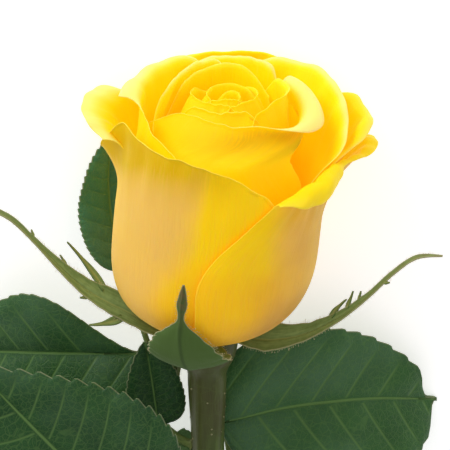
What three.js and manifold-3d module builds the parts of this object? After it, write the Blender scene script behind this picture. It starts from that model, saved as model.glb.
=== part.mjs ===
// A single cut yellow rose, lying on a surface. Millimetres, +Z up.
//
// The rose is drawn upright in its own frame: x to the right, y towards the back, z up the stem's line,
// with the zero point where the petals sit on the hip. The last section lays it down, the bloom towards +Y.

import * as THREE from 'three';
import { mergeVertices } from 'three/addons/utils/BufferGeometryUtils.js';
import Module from 'manifold-3d';

const wasm = await Module();
wasm.setup();

// Driving dimensions

const STEM_LENGTH = 230;
const STEM_RADIUS = 3.3;
const NECK_RADIUS = 3.8;
const HIP_RADIUS = 6.0;
const HIP_TOP = -1.6;
const HIP_BOTTOM = -10.7;
const RECEPTACLE_RADIUS = 2.95;
const RECEPTACLE_HEIGHT = 12;

const BLOOM_RADIUS = 19.7;
const BELLY_HEIGHT = 18.5;
const SHOULDER_HEIGHT = 30;
const BLOOM_LEAN = 0.0875;
const BOWL_SQUARENESS = 2.6;
const CLAW_RADIUS = 3.3;
const LAYER_PITCH = 1.0;
const PETAL_THICKNESS = 0.62;
const BLADE_THICKNESS = 0.64;

const LYING_TILT = THREE.MathUtils.degToRad(4.35);
const STEM_SIDES = 12;

const UP = new THREE.Vector3(0, 0, 1);

// The surface that the rose lies on, as a plane in the rose's own frame

const SURFACE_NORMAL = new THREE.Vector3(0, -Math.cos(LYING_TILT), Math.sin(LYING_TILT));
const BASE_LIFT = STEM_LENGTH * Math.sin(LYING_TILT) + STEM_RADIUS * Math.cos(LYING_TILT);

function liftAboveSurface(point) {
  return point.dot(SURFACE_NORMAL) + BASE_LIFT;
}

// Materials

function finish(color, roughness) {
  return new THREE.MeshStandardMaterial({ color, roughness, metalness: 0, side: THREE.DoubleSide });
}

const outerPetalFinish = () => finish(0xe2b93f, 0.6);
const innerPetalFinish = () => finish(0xffd400, 0.55);
const stemFinish = () => finish(0x55602f, 0.5);
const sepalFinish = () => finish(0x6f8a4a, 0.6);
const leafFinish = () => finish(0x2f5a34, 0.45);

// Small helpers

// Value at t (0 to 1) of a smooth curve through evenly spaced values
function along(values, t) {
  const last = values.length - 1;
  const place = THREE.MathUtils.clamp(t, 0, 1) * last;
  const i = Math.min(Math.floor(place), last - 1);
  const f = place - i;
  const [a, b, c, d] = [values[Math.max(i - 1, 0)], values[i], values[i + 1], values[Math.min(i + 2, last)]];
  const slopeB = (c - a) / 2;
  const slopeC = (d - b) / 2;
  const f2 = f * f;
  const f3 = f2 * f;
  return (2 * f3 - 3 * f2 + 1) * b + (f3 - 2 * f2 + f) * slopeB + (3 * f2 - 2 * f3) * c + (f3 - f2) * slopeC;
}

function evenly(count) {
  return Array.from({ length: count + 1 }, (_, i) => i / count);
}

function geometryFrom(vertices, triangles) {
  const geometry = new THREE.BufferGeometry();
  const flat = vertices.flatMap((v) => [v.x, v.y, v.z]);
  geometry.setAttribute('position', new THREE.Float32BufferAttribute(flat, 3));
  geometry.setIndex(triangles.flat());
  return geometry;
}

// Unit normal of a grid of points at row i, column j
function gridNormal(grid, i, j) {
  const rows = grid.length - 1;
  const columns = grid[0].length - 1;
  const alongRow = grid[i][Math.min(j + 1, columns)].clone().sub(grid[i][Math.max(j - 1, 0)]);
  const alongColumn = grid[Math.min(i + 1, rows)][j].clone().sub(grid[Math.max(i - 1, 0)][j]);
  return alongRow.cross(alongColumn).normalize();
}

// The two faces' points over one middle point, lifted together where they would pass the surface
function facePair(middle, normal, thickness) {
  const pair = [0.5, -0.5].map((side) => middle.clone().addScaledVector(normal, side * thickness));
  const lowest = Math.min(...pair.map(liftAboveSurface));
  if (lowest < 0) pair.forEach((point) => point.addScaledVector(SURFACE_NORMAL, -lowest));
  return pair;
}

// A closed blade of even thickness round a grid of middle points; both faces are split alike
function bladeGeometry(grid, thickness) {
  const rows = grid.length;
  const columns = grid[0].length;
  const pairs = grid.flatMap((row, i) => (
    row.map((point, j) => facePair(point, gridNormal(grid, i, j), thickness))
  ));
  const vertices = pairs.map((pair) => pair[0]).concat(pairs.map((pair) => pair[1]));
  const front = (i, j) => i * columns + j;
  const back = (i, j) => rows * columns + i * columns + j;
  const triangles = [];
  for (let i = 0; i < rows - 1; i++) {
    for (let j = 0; j < columns - 1; j++) {
      let [a, b, c, d] = [[i, j], [i, j + 1], [i + 1, j + 1], [i + 1, j]];
      const straight = grid[i][j].distanceTo(grid[i + 1][j + 1]);
      const crossed = grid[i][j + 1].distanceTo(grid[i + 1][j]);
      if (crossed < straight) [a, b, c, d] = [b, c, d, a];
      triangles.push([front(...a), front(...b), front(...c)], [front(...a), front(...c), front(...d)]);
      triangles.push([back(...a), back(...c), back(...b)], [back(...a), back(...d), back(...c)]);
    }
  }
  const rim = [];
  for (let j = 0; j < columns - 1; j++) rim.push([0, j]);
  for (let i = 0; i < rows - 1; i++) rim.push([i, columns - 1]);
  for (let j = columns - 1; j > 0; j--) rim.push([rows - 1, j]);
  for (let i = rows - 1; i > 0; i--) rim.push([i, 0]);
  rim.forEach((here, k) => {
    const next = rim[(k + 1) % rim.length];
    triangles.push([front(...here), back(...here), back(...next)]);
    triangles.push([front(...here), back(...next), front(...next)]);
  });
  return geometryFrom(vertices, triangles);
}

// A closed round solid that follows stations of { at, radius }
function roundGeometry(stations, sides) {
  const vertices = [];
  const triangles = [];
  const centres = stations.map((station) => station.at);
  let across = new THREE.Vector3(1, 0, 0);
  stations.forEach((station, i) => {
    const before = centres[Math.max(i - 1, 0)];
    const after = centres[Math.min(i + 1, centres.length - 1)];
    const ahead = after.clone().sub(before).normalize();
    across = across.clone().addScaledVector(ahead, -across.dot(ahead)).normalize();
    const other = ahead.clone().cross(across);
    for (let k = 0; k < sides; k++) {
      const angle = (2 * Math.PI * k) / sides;
      const point = station.at.clone().addScaledVector(across, station.radius * Math.cos(angle));
      vertices.push(point.addScaledVector(other, station.radius * Math.sin(angle)));
    }
  });
  for (let i = 0; i < stations.length - 1; i++) {
    for (let k = 0; k < sides; k++) {
      const [a, b] = [i * sides + k, i * sides + ((k + 1) % sides)];
      triangles.push([a, b, b + sides], [a, b + sides, a + sides]);
    }
  }
  const last = (stations.length - 1) * sides;
  for (let k = 1; k < sides - 1; k++) {
    triangles.push([0, k + 1, k], [last, last + k, last + k + 1]);
  }
  return geometryFrom(vertices, triangles);
}

function toSolid(geometry) {
  const merged = mergeVertices(geometry, 1e-5);
  return new wasm.Manifold(new wasm.Mesh({
    numProp: 3,
    vertProperties: merged.attributes.position.array,
    triVerts: Uint32Array.from(merged.index.array),
  }));
}

// One geometry from several closed ones that run into each other
function fused(geometries) {
  const joined = geometries.map(toSolid).reduce((sum, solid) => sum.add(solid));
  const mesh = joined.getMesh();
  const geometry = new THREE.BufferGeometry();
  geometry.setAttribute('position', new THREE.Float32BufferAttribute(mesh.vertProperties, 3));
  geometry.setIndex(Array.from(mesh.triVerts));
  return geometry;
}

const flower = new THREE.Group();

function addPiece(name, geometry, material) {
  const mesh = new THREE.Mesh(geometry, material);
  mesh.name = name;
  flower.add(mesh);
  return mesh;
}

// Petals
//
// The petals nest like cups. layer counts inwards from the outermost cup. from and to are the azimuths of
// the two side edges at the claw, the belly and the rim (0 right, 90 back, -90 front). rim is the height of
// the crest, crest the distance from the bloom's line that the petal has at its greatest height, roll the
// length of margin folded outwards past the crest and curl how far that turns, in degrees, each at even
// steps between the side edges. flareFrom is the height at which the petal leaves the cup, and
// wallFractions the rows of its wall, where those are closer together than on the other petals.

const OUTER_PETALS = [
  {
    name: 'petal_outer_right_front', layer: 0, flareFrom: 24,
    from: [-98, -99, -99.5, -99.7, -91, -73.5, -54], to: [14, 22, 13],
    rim: [33.8, 34.9, 35.2, 35.6, 36, 36.4, 36.8, 37.6, 37.2],
    crest: [20.1, 20.3, 20.4, 20.7, 21.3, 22.2, 23.8, 27, 27],
    roll: [0.5, 3.2, 5, 5.6, 5, 3.6, 1.8, 2.2, 2.2], curl: [90, 165, 180, 185, 175, 140, 80, 45, 40],
  },
  {
    name: 'petal_outer_back', layer: 0, flareFrom: 26,
    from: [58, 50, 48], to: [150, 158, 152], rim: [30, 40, 43.6, 44.8, 45.2, 44.8, 43.6, 40, 30],
    crest: [25.4, 25.4, 24.6, 23.6, 22.4], roll: [0.8, 4.6, 5.2, 4.6, 0.8],
    curl: [92, 190, 205, 190, 92], rollSteps: 4,
  },
  {
    name: 'petal_outer_left_front', layer: 1, flareFrom: 30,
    from: [-186, -192, -192], to: [-66, -58, -60],
    rim: [36, 39.4, 40.9, 45.2, 45.8, 44.3, 43.6, 43.2, 43, 42.9, 42.6, 42, 41, 39.8, 38, 36, 33],
    crest: [34, 33, 26, 19.8, 19.2, 19, 18.9, 18.9, 18.9, 19, 19.1, 19.2, 19.2, 19.1, 19, 18.9, 18.8],
    roll: [0.6, 1, 1, 1, 0.6], curl: [44, 60, 60, 60, 44],
  },
  {
    name: 'petal_outer_right_back', layer: 1, flareFrom: 25,
    from: [-30, -32, -30], to: [66, 84, 84], rim: [31, 34.6, 38.2, 40.4, 41.6, 41.2, 40.6, 39.6, 33],
    crest: [19.2, 24.3, 25, 22.6, 20.6], roll: [0.4, 2, 2.6, 1.2, 0.6], curl: [38, 80, 70, 51, 38],
  },
  {
    name: 'petal_outer_left', layer: 2, flareFrom: 34,
    from: [128, 118, 120], to: [224, 222, 190],
    rim: [32, 38.5, 40.5, 41.2, 41.4, 41.4, 41.2, 40.8, 39.6],
    crest: [18, 18.6, 19.4, 20.4, 21, 21.4, 21.5, 20.6, 17],
    roll: [0.6, 1.2, 2.4, 6.6, 7.8, 7.8, 7.2, 4.8, 0.8], curl: [40, 100, 90, 60, 46, 38, 36, 40, 50],
  },
];

const SECOND_PETALS = [
  {
    name: 'petal_second_left', layer: 3, flareFrom: 34,
    from: [108, 94, 92], to: [228, 238, 238], rim: [33, 44.5, 46, 46.4, 46.4, 46.3, 45.6, 43.8, 41.5],
    crest: [18.2, 18.6, 17.6, 16.6, 15.7],
    roll: [0.6, 4.4, 5.6, 6, 6.2, 6.2, 6.2, 6.2, 6.2, 5.6, 1.4, 0.5, 0.5, 0.5, 0.5, 0.5, 0.5],
    curl: [60, 110, 135, 145, 150, 150, 150, 150, 150, 145, 70, 40, 40, 40, 40, 40, 40],
  },
  {
    name: 'petal_second_right', layer: 3, flareFrom: 22,
    from: [-24, -31, -30], to: [74, 86, 90], rim: [30, 38.2, 41.8, 44, 45.2, 45.9, 46, 45.4, 40],
    crest: [17.6, 25.4, 23.6, 22.4, 22.4, 22.8, 22.2, 21.4, 19], roll: [0.6, 1.6, 1.8, 1.8, 0.6],
    curl: [28, 46, 50, 50, 28],
  },
  {
    name: 'petal_second_front', layer: 4, flareFrom: 30,
    from: [-146, -158, -173],
    to: [-45, -40, -36, -32, -28, -25, -22, -20, -19, -18, -17, -18, -22, -30, -38, 44, 44],
    rim: [37, 46.2, 47, 47, 46.6, 45.4, 44.4, 44, 43.6],
    crest: [13.4, 8.8, 7.35, 7.5, 9, 12, 13, 14, 14.6],
    roll: [0.5, 0.6, 0.7, 0.8, 1.2, 2.8, 5.8, 6.8, 4.6],
    curl: [45, 50, 50, 60, 80, 130, 175, 180, 160],
    rollSteps: 4, wallFractions: [0.3, 0.6, 0.8, 0.88, 0.94, 0.97, 1],
  },
];

const INNER_PETALS = [
  {
    name: 'petal_inner_back', layer: 4, flareFrom: 32,
    from: [46, 40, 52], to: [112, 122, 124], rim: [38, 45, 46.4, 46.9, 47, 46.9, 46.4, 45.2, 38],
    crest: [15.2, 15.4, 15.4, 15.2, 15.1], roll: [0.6, 2, 2.4, 2.2, 0.6],
    curl: [38, 100, 112, 105, 38],
  },
  {
    name: 'petal_inner_left', layer: 5, flareFrom: 30,
    from: [96, 84, 86], to: [198, 206, 184], rim: [38, 47, 48.4, 48.6, 48.6, 48.4, 48, 46.8, 42],
    crest: [14.2, 13.2, 11.8, 11.8, 12.2], roll: [0.6, 0.8, 0.8, 0.8, 0.6], curl: [38, 45, 45, 45, 38],
  },
  {
    name: 'petal_inner_right', layer: 5, flareFrom: 30,
    from: [-46, -62, -62], to: [52, 64, 64], rim: [38, 46.4, 47.6, 48.2, 48.4, 48.4, 48.2, 47, 38],
    crest: [7.6, 9, 10.9, 11.5, 11.8], roll: [0.6, 0.8, 0.8, 0.8, 0.6], curl: [38, 45, 45, 45, 38],
  },
  {
    name: 'petal_inner_front', layer: 6, flareFrom: 28,
    from: [-164, -172, -194], to: [-34, -22, -22],
    rim: [38, 46.8, 47.6, 47.6, 47.4, 47.4, 47.2, 46.2, 38], crest: [8.8, 6.25, 6.05, 6.3, 7.2],
    roll: [0.6, 0.7, 0.7, 0.7, 0.6], curl: [38, 45, 45, 45, 38],
  },
  {
    name: 'petal_inner_far', layer: 6, flareFrom: 28,
    from: [24, 10, 10], to: [150, 158, 158], rim: [38, 47.2, 48.6, 48.9, 48.8, 48.6, 48.2, 46.8, 38],
    crest: [9.4, 9.2, 9, 9, 9.4], roll: [0.6, 0.8, 0.8, 0.8, 0.6], curl: [38, 45, 45, 45, 38],
  },
];

// The heart: petals rolled tightly round each other, each a turn of the golden angle further in
const HEART_COUNT = 5;
const HEART_FIRST_LAYER = 7;
const HEART_FIRST_AZIMUTH = 205;
const HEART_TURN = 137.5;
const HEART_HALF_WIDTH = 96;
const HEART_CLAW_HALF_WIDTH = 70;
const HEART_OUTER_CREST = 4.35;
const HEART_CREST_STEP = 0.9;
const HEART_HEIGHT = 48.9;
const HEART_DROP = 0.6;
const HEART_RIM_DROPS = [8, 2.2, 0.6, 0.1, 0, 0.1, 0.6, 2.2, 8];

function heartPetal(index) {
  const middle = HEART_FIRST_AZIMUTH + HEART_TURN * index;
  const crest = HEART_OUTER_CREST - HEART_CREST_STEP * index;
  const height = HEART_HEIGHT - HEART_DROP * index;
  const halfWidths = [HEART_CLAW_HALF_WIDTH, HEART_HALF_WIDTH, HEART_HALF_WIDTH];
  return {
    name: `petal_heart_${index + 1}`,
    layer: HEART_FIRST_LAYER + index,
    from: halfWidths.map((halfWidth) => middle - halfWidth),
    to: halfWidths.map((halfWidth) => middle + halfWidth),
    rim: HEART_RIM_DROPS.map((drop) => height - drop),
    crest: [crest + 0.5, crest + 0.25, crest, crest - 0.1, crest - 0.1],
    roll: [0.4, 0.4, 0.4, 0.4, 0.4],
    curl: [20, 20, 20, 20, 20],
    flareFrom: 26,
    wallFractions: [0.3, 0.5, 0.68, 0.85, 1],
  };
}

// Distance from the bloom's line and height on the bowl of a layer, at an angle from its bottom (0) to its
// widest place (a quarter turn)
function bowlPoint(layer, angle) {
  const inset = layer * LAYER_PITCH;
  const power = 2 / BOWL_SQUARENESS;
  const radius = (BLOOM_RADIUS - inset) * Math.sin(angle) ** power;
  const depth = BELLY_HEIGHT * Math.cos(angle) ** power + SHOULDER_HEIGHT - BELLY_HEIGHT;
  return new THREE.Vector2(radius, SHOULDER_HEIGHT - depth * (1 - inset / SHOULDER_HEIGHT));
}

const BOWL_FRACTIONS = [0, 0.4, 0.72, 1];
const WALL_FRACTIONS = [0.3, 0.6, 0.82, 1];

// The line from a petal's claw over the bowl and up to its crest, as distance from the bloom's line and
// height; the steps on the bowl are alike for all layers, so that the cups nest
function wallLine(petal, crestRadius, crestHeight) {
  const reach = Math.max(...petal.rim) - petal.flareFrom;
  const belly = bowlPoint(petal.layer, Math.PI / 2);
  const clawAngle = Math.asin((CLAW_RADIUS / belly.x) ** (BOWL_SQUARENESS / 2));
  const bowl = BOWL_FRACTIONS.map((fraction) => (
    bowlPoint(petal.layer, THREE.MathUtils.lerp(clawAngle, Math.PI / 2, fraction))
  ));
  const wall = (petal.wallFractions ?? WALL_FRACTIONS).map((fraction) => {
    const height = THREE.MathUtils.lerp(belly.y, crestHeight, fraction);
    const flare = Math.max((height - petal.flareFrom) / reach, 0) ** 2;
    return new THREE.Vector2(belly.x + (crestRadius - belly.x) * flare, height);
  });
  return bowl.concat(wall);
}

// The margin past the crest: an arc that goes on from the wall and turns outwards and down
function rolledMargin(line, length, curl, steps) {
  const crest = line[line.length - 1];
  const ahead = crest.clone().sub(line[line.length - 2]);
  const start = Math.atan2(ahead.y, ahead.x);
  const points = [];
  const here = crest.clone();
  for (let i = 0; i < steps; i++) {
    const angle = start - curl * ((i + 0.5) / steps);
    here.x += (Math.cos(angle) * length) / steps;
    here.y += (Math.sin(angle) * length) / steps;
    points.push(here.clone());
  }
  return points;
}

const EDGE_CROWDING = 0.45;

// Places across a petal from one side edge (0) to the other (1), closer together near the edges
function acrossPetal(columns) {
  return Array.from({ length: columns + 1 }, (_, i) => {
    const t = i / columns;
    return t - (EDGE_CROWDING * Math.sin(2 * Math.PI * t)) / (2 * Math.PI);
  });
}

function petalGrid(petal, columns, rollSteps) {
  const top = Math.max(...petal.rim);
  const bottom = bowlPoint(petal.layer, 0).y;
  const grid = [];
  acrossPetal(columns).forEach((t) => {
    const line = wallLine(petal, along(petal.crest, t), along(petal.rim, t));
    const curl = THREE.MathUtils.degToRad(along(petal.curl, t));
    line.concat(rolledMargin(line, along(petal.roll, t), curl, rollSteps)).forEach((point, row) => {
      const rise = (point.y - bottom) / (top - bottom);
      const azimuth = THREE.MathUtils.degToRad(
        THREE.MathUtils.lerp(along(petal.from, rise), along(petal.to, rise), t),
      );
      grid[row] ??= [];
      grid[row].push(new THREE.Vector3(
        point.x * Math.cos(azimuth) + BLOOM_LEAN * point.y,
        point.x * Math.sin(azimuth),
        point.y,
      ));
    });
  });
  return grid;
}

function addPetal(petal, material, columns, rollSteps) {
  const grid = petalGrid(petal, columns, petal.rollSteps ?? rollSteps);
  addPiece(petal.name, bladeGeometry(grid, PETAL_THICKNESS), material);
}

OUTER_PETALS.forEach((petal) => addPetal(petal, outerPetalFinish(), 12, 3));
SECOND_PETALS.forEach((petal) => addPetal(petal, innerPetalFinish(), 12, 3));
INNER_PETALS.forEach((petal) => addPetal(petal, innerPetalFinish(), 11, 2));
for (let i = 0; i < HEART_COUNT; i++) addPetal(heartPetal(i), innerPetalFinish(), 14, 1);

// The innermost bud, a slim closed cone of furled petals in the middle of the heart

const BUD_LAYER = HEART_FIRST_LAYER + HEART_COUNT;
const BUD_HEIGHT = 46;
const BUD_TIP_RADIUS = 0.3;
const BUD_SIDES = 14;
const BUD_PETAL = { layer: BUD_LAYER, rim: [BUD_HEIGHT], flareFrom: 24 };

function onBloomLine(height) {
  return new THREE.Vector3(BLOOM_LEAN * height, 0, height);
}

const budStations = wallLine(BUD_PETAL, BUD_TIP_RADIUS, BUD_HEIGHT).map((point) => (
  { at: onBloomLine(point.y), radius: point.x }
));
addPiece('heart_bud', roundGeometry(budStations, BUD_SIDES), innerPetalFinish());

// Stem, hip and receptacle, grown as one piece, with prickles

const STEM_BENDS = [[0, 0], [0.3, 0.2], [0.9, 0.1], [0.4, -0.4], [-0.9, -0.5], [-1.2, 0.1], [0, 0]];

// Middle of the stem at a height from its top (the hip's bottom) down to the cut end
function stemPoint(height) {
  const t = (HIP_BOTTOM - height) / (HIP_BOTTOM + STEM_LENGTH);
  return new THREE.Vector3(
    along(STEM_BENDS.map((bend) => bend[0]), t),
    along(STEM_BENDS.map((bend) => bend[1]), t),
    height,
  );
}

const NECK_LENGTH = 16;

function stemRadius(height) {
  const t = THREE.MathUtils.clamp((HIP_BOTTOM - height) / NECK_LENGTH, 0, 1);
  return THREE.MathUtils.lerp(NECK_RADIUS, STEM_RADIUS, t);
}

const HIP_PROFILE = [
  [HIP_BOTTOM, NECK_RADIUS], [-9, 4.3], [-6.6, 5.5], [-3.8, HIP_RADIUS], [-2, 5.7], [HIP_TOP, 5.4],
];

const STEM_STEPS = 14;

function stemGeometry() {
  const stations = evenly(STEM_STEPS).map((t) => {
    const height = THREE.MathUtils.lerp(-STEM_LENGTH, HIP_BOTTOM, t);
    return { at: stemPoint(height), radius: stemRadius(height) };
  });
  HIP_PROFILE.slice(1).forEach(([height, radius]) => {
    stations.push({ at: new THREE.Vector3(0, 0, height), radius });
  });
  return roundGeometry(stations, STEM_SIDES);
}

function receptacleGeometry() {
  const heights = [HIP_TOP - 1, 0, RECEPTACLE_HEIGHT * 0.6, RECEPTACLE_HEIGHT];
  const radii = [RECEPTACLE_RADIUS, RECEPTACLE_RADIUS, RECEPTACLE_RADIUS * 0.95, RECEPTACLE_RADIUS * 0.7];
  return roundGeometry(heights.map((height, i) => ({ at: onBloomLine(height), radius: radii[i] })), 10);
}

// Prickles as { height, azimuth, length }, hooked downwards
const PRICKLES = [
  { height: -38, azimuth: -60, length: 4.2 }, { height: -55, azimuth: 150, length: 4.6 },
  { height: -78, azimuth: -110, length: 5 }, { height: -92, azimuth: 20, length: 5 },
  { height: -126, azimuth: 170, length: 5.4 }, { height: -140, azimuth: -40, length: 5.4 },
  { height: -166, azimuth: 200, length: 5.6 }, { height: -182, azimuth: -80, length: 5.6 },
  { height: -205, azimuth: 10, length: 5.6 },
];

const PRICKLE_ROOT_DEPTH = 1.2;

function prickleGeometry({ height, azimuth, length }) {
  const angle = THREE.MathUtils.degToRad(azimuth);
  const out = new THREE.Vector3(Math.cos(angle), Math.sin(angle), 0);
  const bark = stemPoint(height).addScaledVector(out, stemRadius(height));
  const root = bark.clone().addScaledVector(out, -PRICKLE_ROOT_DEPTH);
  const middle = bark.clone().addScaledVector(out, length * 0.45);
  const tip = bark.clone().addScaledVector(out, length).addScaledVector(UP, -length * 0.45);
  return roundGeometry([
    { at: root, radius: length * 0.34 },
    { at: middle, radius: length * 0.16 },
    { at: tip, radius: 0.12 },
  ], 6);
}

const stemParts = [stemGeometry(), receptacleGeometry()].concat(PRICKLES.map(prickleGeometry));
addPiece('stem', fused(stemParts), stemFinish());

// Sepals
//
// Each follows stations of [distance from the stem's line, height, half width]. cup raises its edges, and
// lobes are the side lobes as [station, side, length].

const SEPALS = [
  {
    name: 'sepal_front', azimuth: -101, cup: 0.3, lobes: [],
    stations: [
      [3.6, -0.95, 1.8], [6, -1.0, 3.2], [10, -2.2, 6], [13.6, -2.6, 7.4], [16.6, -1.2, 6.8],
      [19.2, 2.6, 4.6], [20.6, 7.4, 2.4], [21.2, 12, 1.1], [21.8, 16, 0.9], [22.2, 20, 0.35],
    ],
  },
  {
    name: 'sepal_left', azimuth: 186, cup: 0.35, lobes: [[4, -1, 9], [5, 1, 6], [6, -1, 3.5]],
    stations: [
      [3.6, -0.95, 1.8], [6, -1.0, 3.2], [10, -0.3, 3.8], [14, 1.4, 3.4], [18, 5.2, 3], [23, 10.4, 2.4],
      [28.5, 15.4, 1.9], [33.6, 20.2, 1.4], [37.4, 24.4, 1], [41, 30.6, 0.35],
    ],
  },
  {
    name: 'sepal_right', azimuth: -18, cup: 0.35, lobes: [[5, 1, 5], [6, -1, 3.5], [7, 1, 3]],
    stations: [
      [3.6, -0.95, 1.8], [6, -1.0, 3.2], [10, -0.8, 4], [14, -0.6, 3.9], [18.6, 0.6, 3.5], [23, 4.2, 2.9],
      [27.5, 8.8, 2.3], [32.5, 14, 1.7], [37, 18, 1.3], [41.5, 21, 0.9], [46, 21.4, 0.35],
    ],
  },
  {
    name: 'sepal_back_right', azimuth: 54, cup: 0.3, lobes: [[4, 1, 4], [5, -1, 3.5]],
    stations: [
      [3.6, -0.95, 1.8], [6, -1.0, 3.2], [9.6, -2.6, 4], [12.6, -6, 3.9], [14.6, -10.6, 3.2],
      [15.6, -15.6, 2.3], [15.8, -20.6, 1.5], [15.2, -26, 0.35],
    ],
  },
  {
    name: 'sepal_back_left', azimuth: 112, cup: 0.3, lobes: [[4, -1, 4]],
    stations: [
      [3.6, -0.95, 1.8], [6, -1.0, 3.2], [9.6, -2.2, 4], [13, -5, 3.9], [15.6, -9.2, 3.2],
      [17, -14, 2.3], [17.4, -19, 1.5], [17, -24, 0.35],
    ],
  },
];

// How far a side lobe goes sideways and forwards, as shares of its length
const LOBE_SPREAD = 0.6;
const LOBE_LEAN = 0.55;

function sepalGrid({ azimuth, cup, lobes, stations }) {
  const angle = THREE.MathUtils.degToRad(azimuth);
  const out = new THREE.Vector3(Math.cos(angle), Math.sin(angle), 0);
  const side = new THREE.Vector3(-Math.sin(angle), Math.cos(angle), 0);
  const middles = stations.map(([radius, height]) => out.clone().multiplyScalar(radius).setZ(height));
  return stations.map(([, , halfWidth], i) => {
    const before = middles[Math.max(i - 1, 0)];
    const after = middles[Math.min(i + 1, middles.length - 1)];
    const ahead = after.clone().sub(before).normalize();
    const inwards = side.clone().cross(ahead).multiplyScalar(-1);
    const cupDepth = i < 2 ? 0 : cup * halfWidth;
    return [-1, -0.5, 0, 0.5, 1].map((across) => {
      const point = middles[i].clone().addScaledVector(side, across * halfWidth);
      point.addScaledVector(inwards, cupDepth * across * across);
      const lobe = lobes.find(([station, lobeSide]) => station === i && lobeSide === across);
      if (!lobe) return point;
      const length = lobe[2];
      point.addScaledVector(side, across * length * LOBE_SPREAD);
      return point.addScaledVector(ahead, length * LOBE_LEAN);
    });
  });
}

SEPALS.forEach((sepal) => {
  addPiece(sepal.name, bladeGeometry(sepalGrid(sepal), BLADE_THICKNESS), sepalFinish());
});

// Leaves
//
// A leaf is a stalk with leaflets in pairs and one at its end, grown as one piece. It stands on the stem at
// height and azimuth, and stalk lists the further points of its middle. A leaflet runs from base to tip,
// facing is the way its upper face looks, and arch is how far its middle stands out of the straight line.
// A leaflet whose base lies off the stalk has a stalklet that starts at from.

const STALK_ROOT_RADIUS = 1.4;
const STALK_TIP_RADIUS = 0.85;
const STALK_SIDES = 6;
const STALK_GAP = 0.3;
const STALK_RISE = [1.3, 0.5];
const FACE_FRONT = [0, -0.96, 0.28];
const FACE_LEVEL = [0, -0.98, 0.1];

const LEAVES = [
  {
    name: 'leaf_upper_left',
    height: -27.5, azimuth: 165, stalk: [[-6.6, 2.4, -22.5], [-9.4, 4, -14], [-11.6, 5.4, -8.7]],
    leaflets: [
      {
        base: [-11.4, 5.2, -9.4], tip: [-60, 19.6, -17], facing: [0, -0.94, 0.34],
        width: 13, arch: 5, teeth: 9,
      },
      {
        from: [-10.8, 4.9, -10], base: [-15, 13.4, -6], tip: [-18.6, 17.2, 32], facing: [0.49, -0.87, 0],
        width: 8.6, arch: -3.4, teeth: 7,
      },
      {
        base: [-6.4, 2.4, -21.8], tip: [-17.4, 1, -4.6], facing: [0.3, -0.9, 0.2],
        width: 6, arch: 1, teeth: 5,
      },
    ],
  },
  {
    name: 'leaf_upper_right',
    height: -46, azimuth: 50, stalk: [[4.6, 5.6, -39], [4.9, 6.2, -31], [4.6, 5.8, -24.6]],
    leaflets: [
      {
        base: [4.7, 5.9, -25.2], tip: [46, 18.8, -26], facing: [0, -0.97, 0.2],
        width: 17, arch: 4.4, teeth: 10,
      },
      { base: [4.7, 5.5, -36.6], tip: [32, 14, -56], facing: FACE_LEVEL, width: 9.6, arch: 2, teeth: 5 },
      { base: [4.6, 5.3, -37.4], tip: [-19, 13.6, -52], facing: FACE_LEVEL, width: 9, arch: 2, teeth: 5 },
    ],
  },
  {
    name: 'leaf_middle_left',
    height: -68, azimuth: 218, stalk: [[-6.4, -5, -58.5], [-9.2, -7.2, -49], [-13, -9, -41]],
    leaflets: [
      { base: [-12.6, -8.8, -41.8], tip: [-45, -9, -4], facing: FACE_FRONT, width: 16.4, arch: 2.4, teeth: 9 },
      { base: [-8.6, -6.8, -50.4], tip: [-40, -2, -53], facing: FACE_FRONT, width: 10.4, arch: 2, teeth: 5 },
      { base: [-8, -6.4, -51.8], tip: [17, -7, -55], facing: FACE_FRONT, width: 9.8, arch: 2, teeth: 5 },
      { base: [-5.6, -4.6, -58], tip: [-30, -1, -70], facing: FACE_FRONT, width: 8.4, arch: 1.6, teeth: 5 },
      { base: [-5.2, -4.2, -59.2], tip: [15, -5.4, -74], facing: FACE_FRONT, width: 8, arch: 1.6, teeth: 5 },
    ],
  },
  {
    name: 'leaf_lower_right',
    height: -114, azimuth: 12, stalk: [[9, 2.2, -107], [17, 3.6, -98.5], [25, 4.6, -91]],
    leaflets: [
      { base: [24.4, 4.5, -91.6], tip: [53, 10, -67], facing: FACE_LEVEL, width: 12.4, arch: 3, teeth: 7 },
      { base: [17.4, 3.6, -98], tip: [15, 7.6, -70], facing: FACE_LEVEL, width: 9.4, arch: 1.6, teeth: 5 },
      { base: [18, 3.7, -97.6], tip: [47, 8.6, -102], facing: FACE_LEVEL, width: 9.6, arch: 1.6, teeth: 5 },
      { base: [10, 2.3, -106], tip: [34, 6.6, -121], facing: FACE_LEVEL, width: 8.2, arch: 1.4, teeth: 5 },
    ],
  },
];

const BROAD_WIDTH = 12;
const BLADE_FOLD = 0.16;
const TOOTH_DEPTH = 0.05;
const TOOTH_PEAK = 0.78;
const TIP_HALF_WIDTH = 0.25;
const SHAPE_SCALE = 2.32;

// Half width of a leaflet at t along it, as a share of its greatest
function leafletShape(t) {
  return SHAPE_SCALE * t ** 0.5 * (1 - t) ** 0.75;
}

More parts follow.
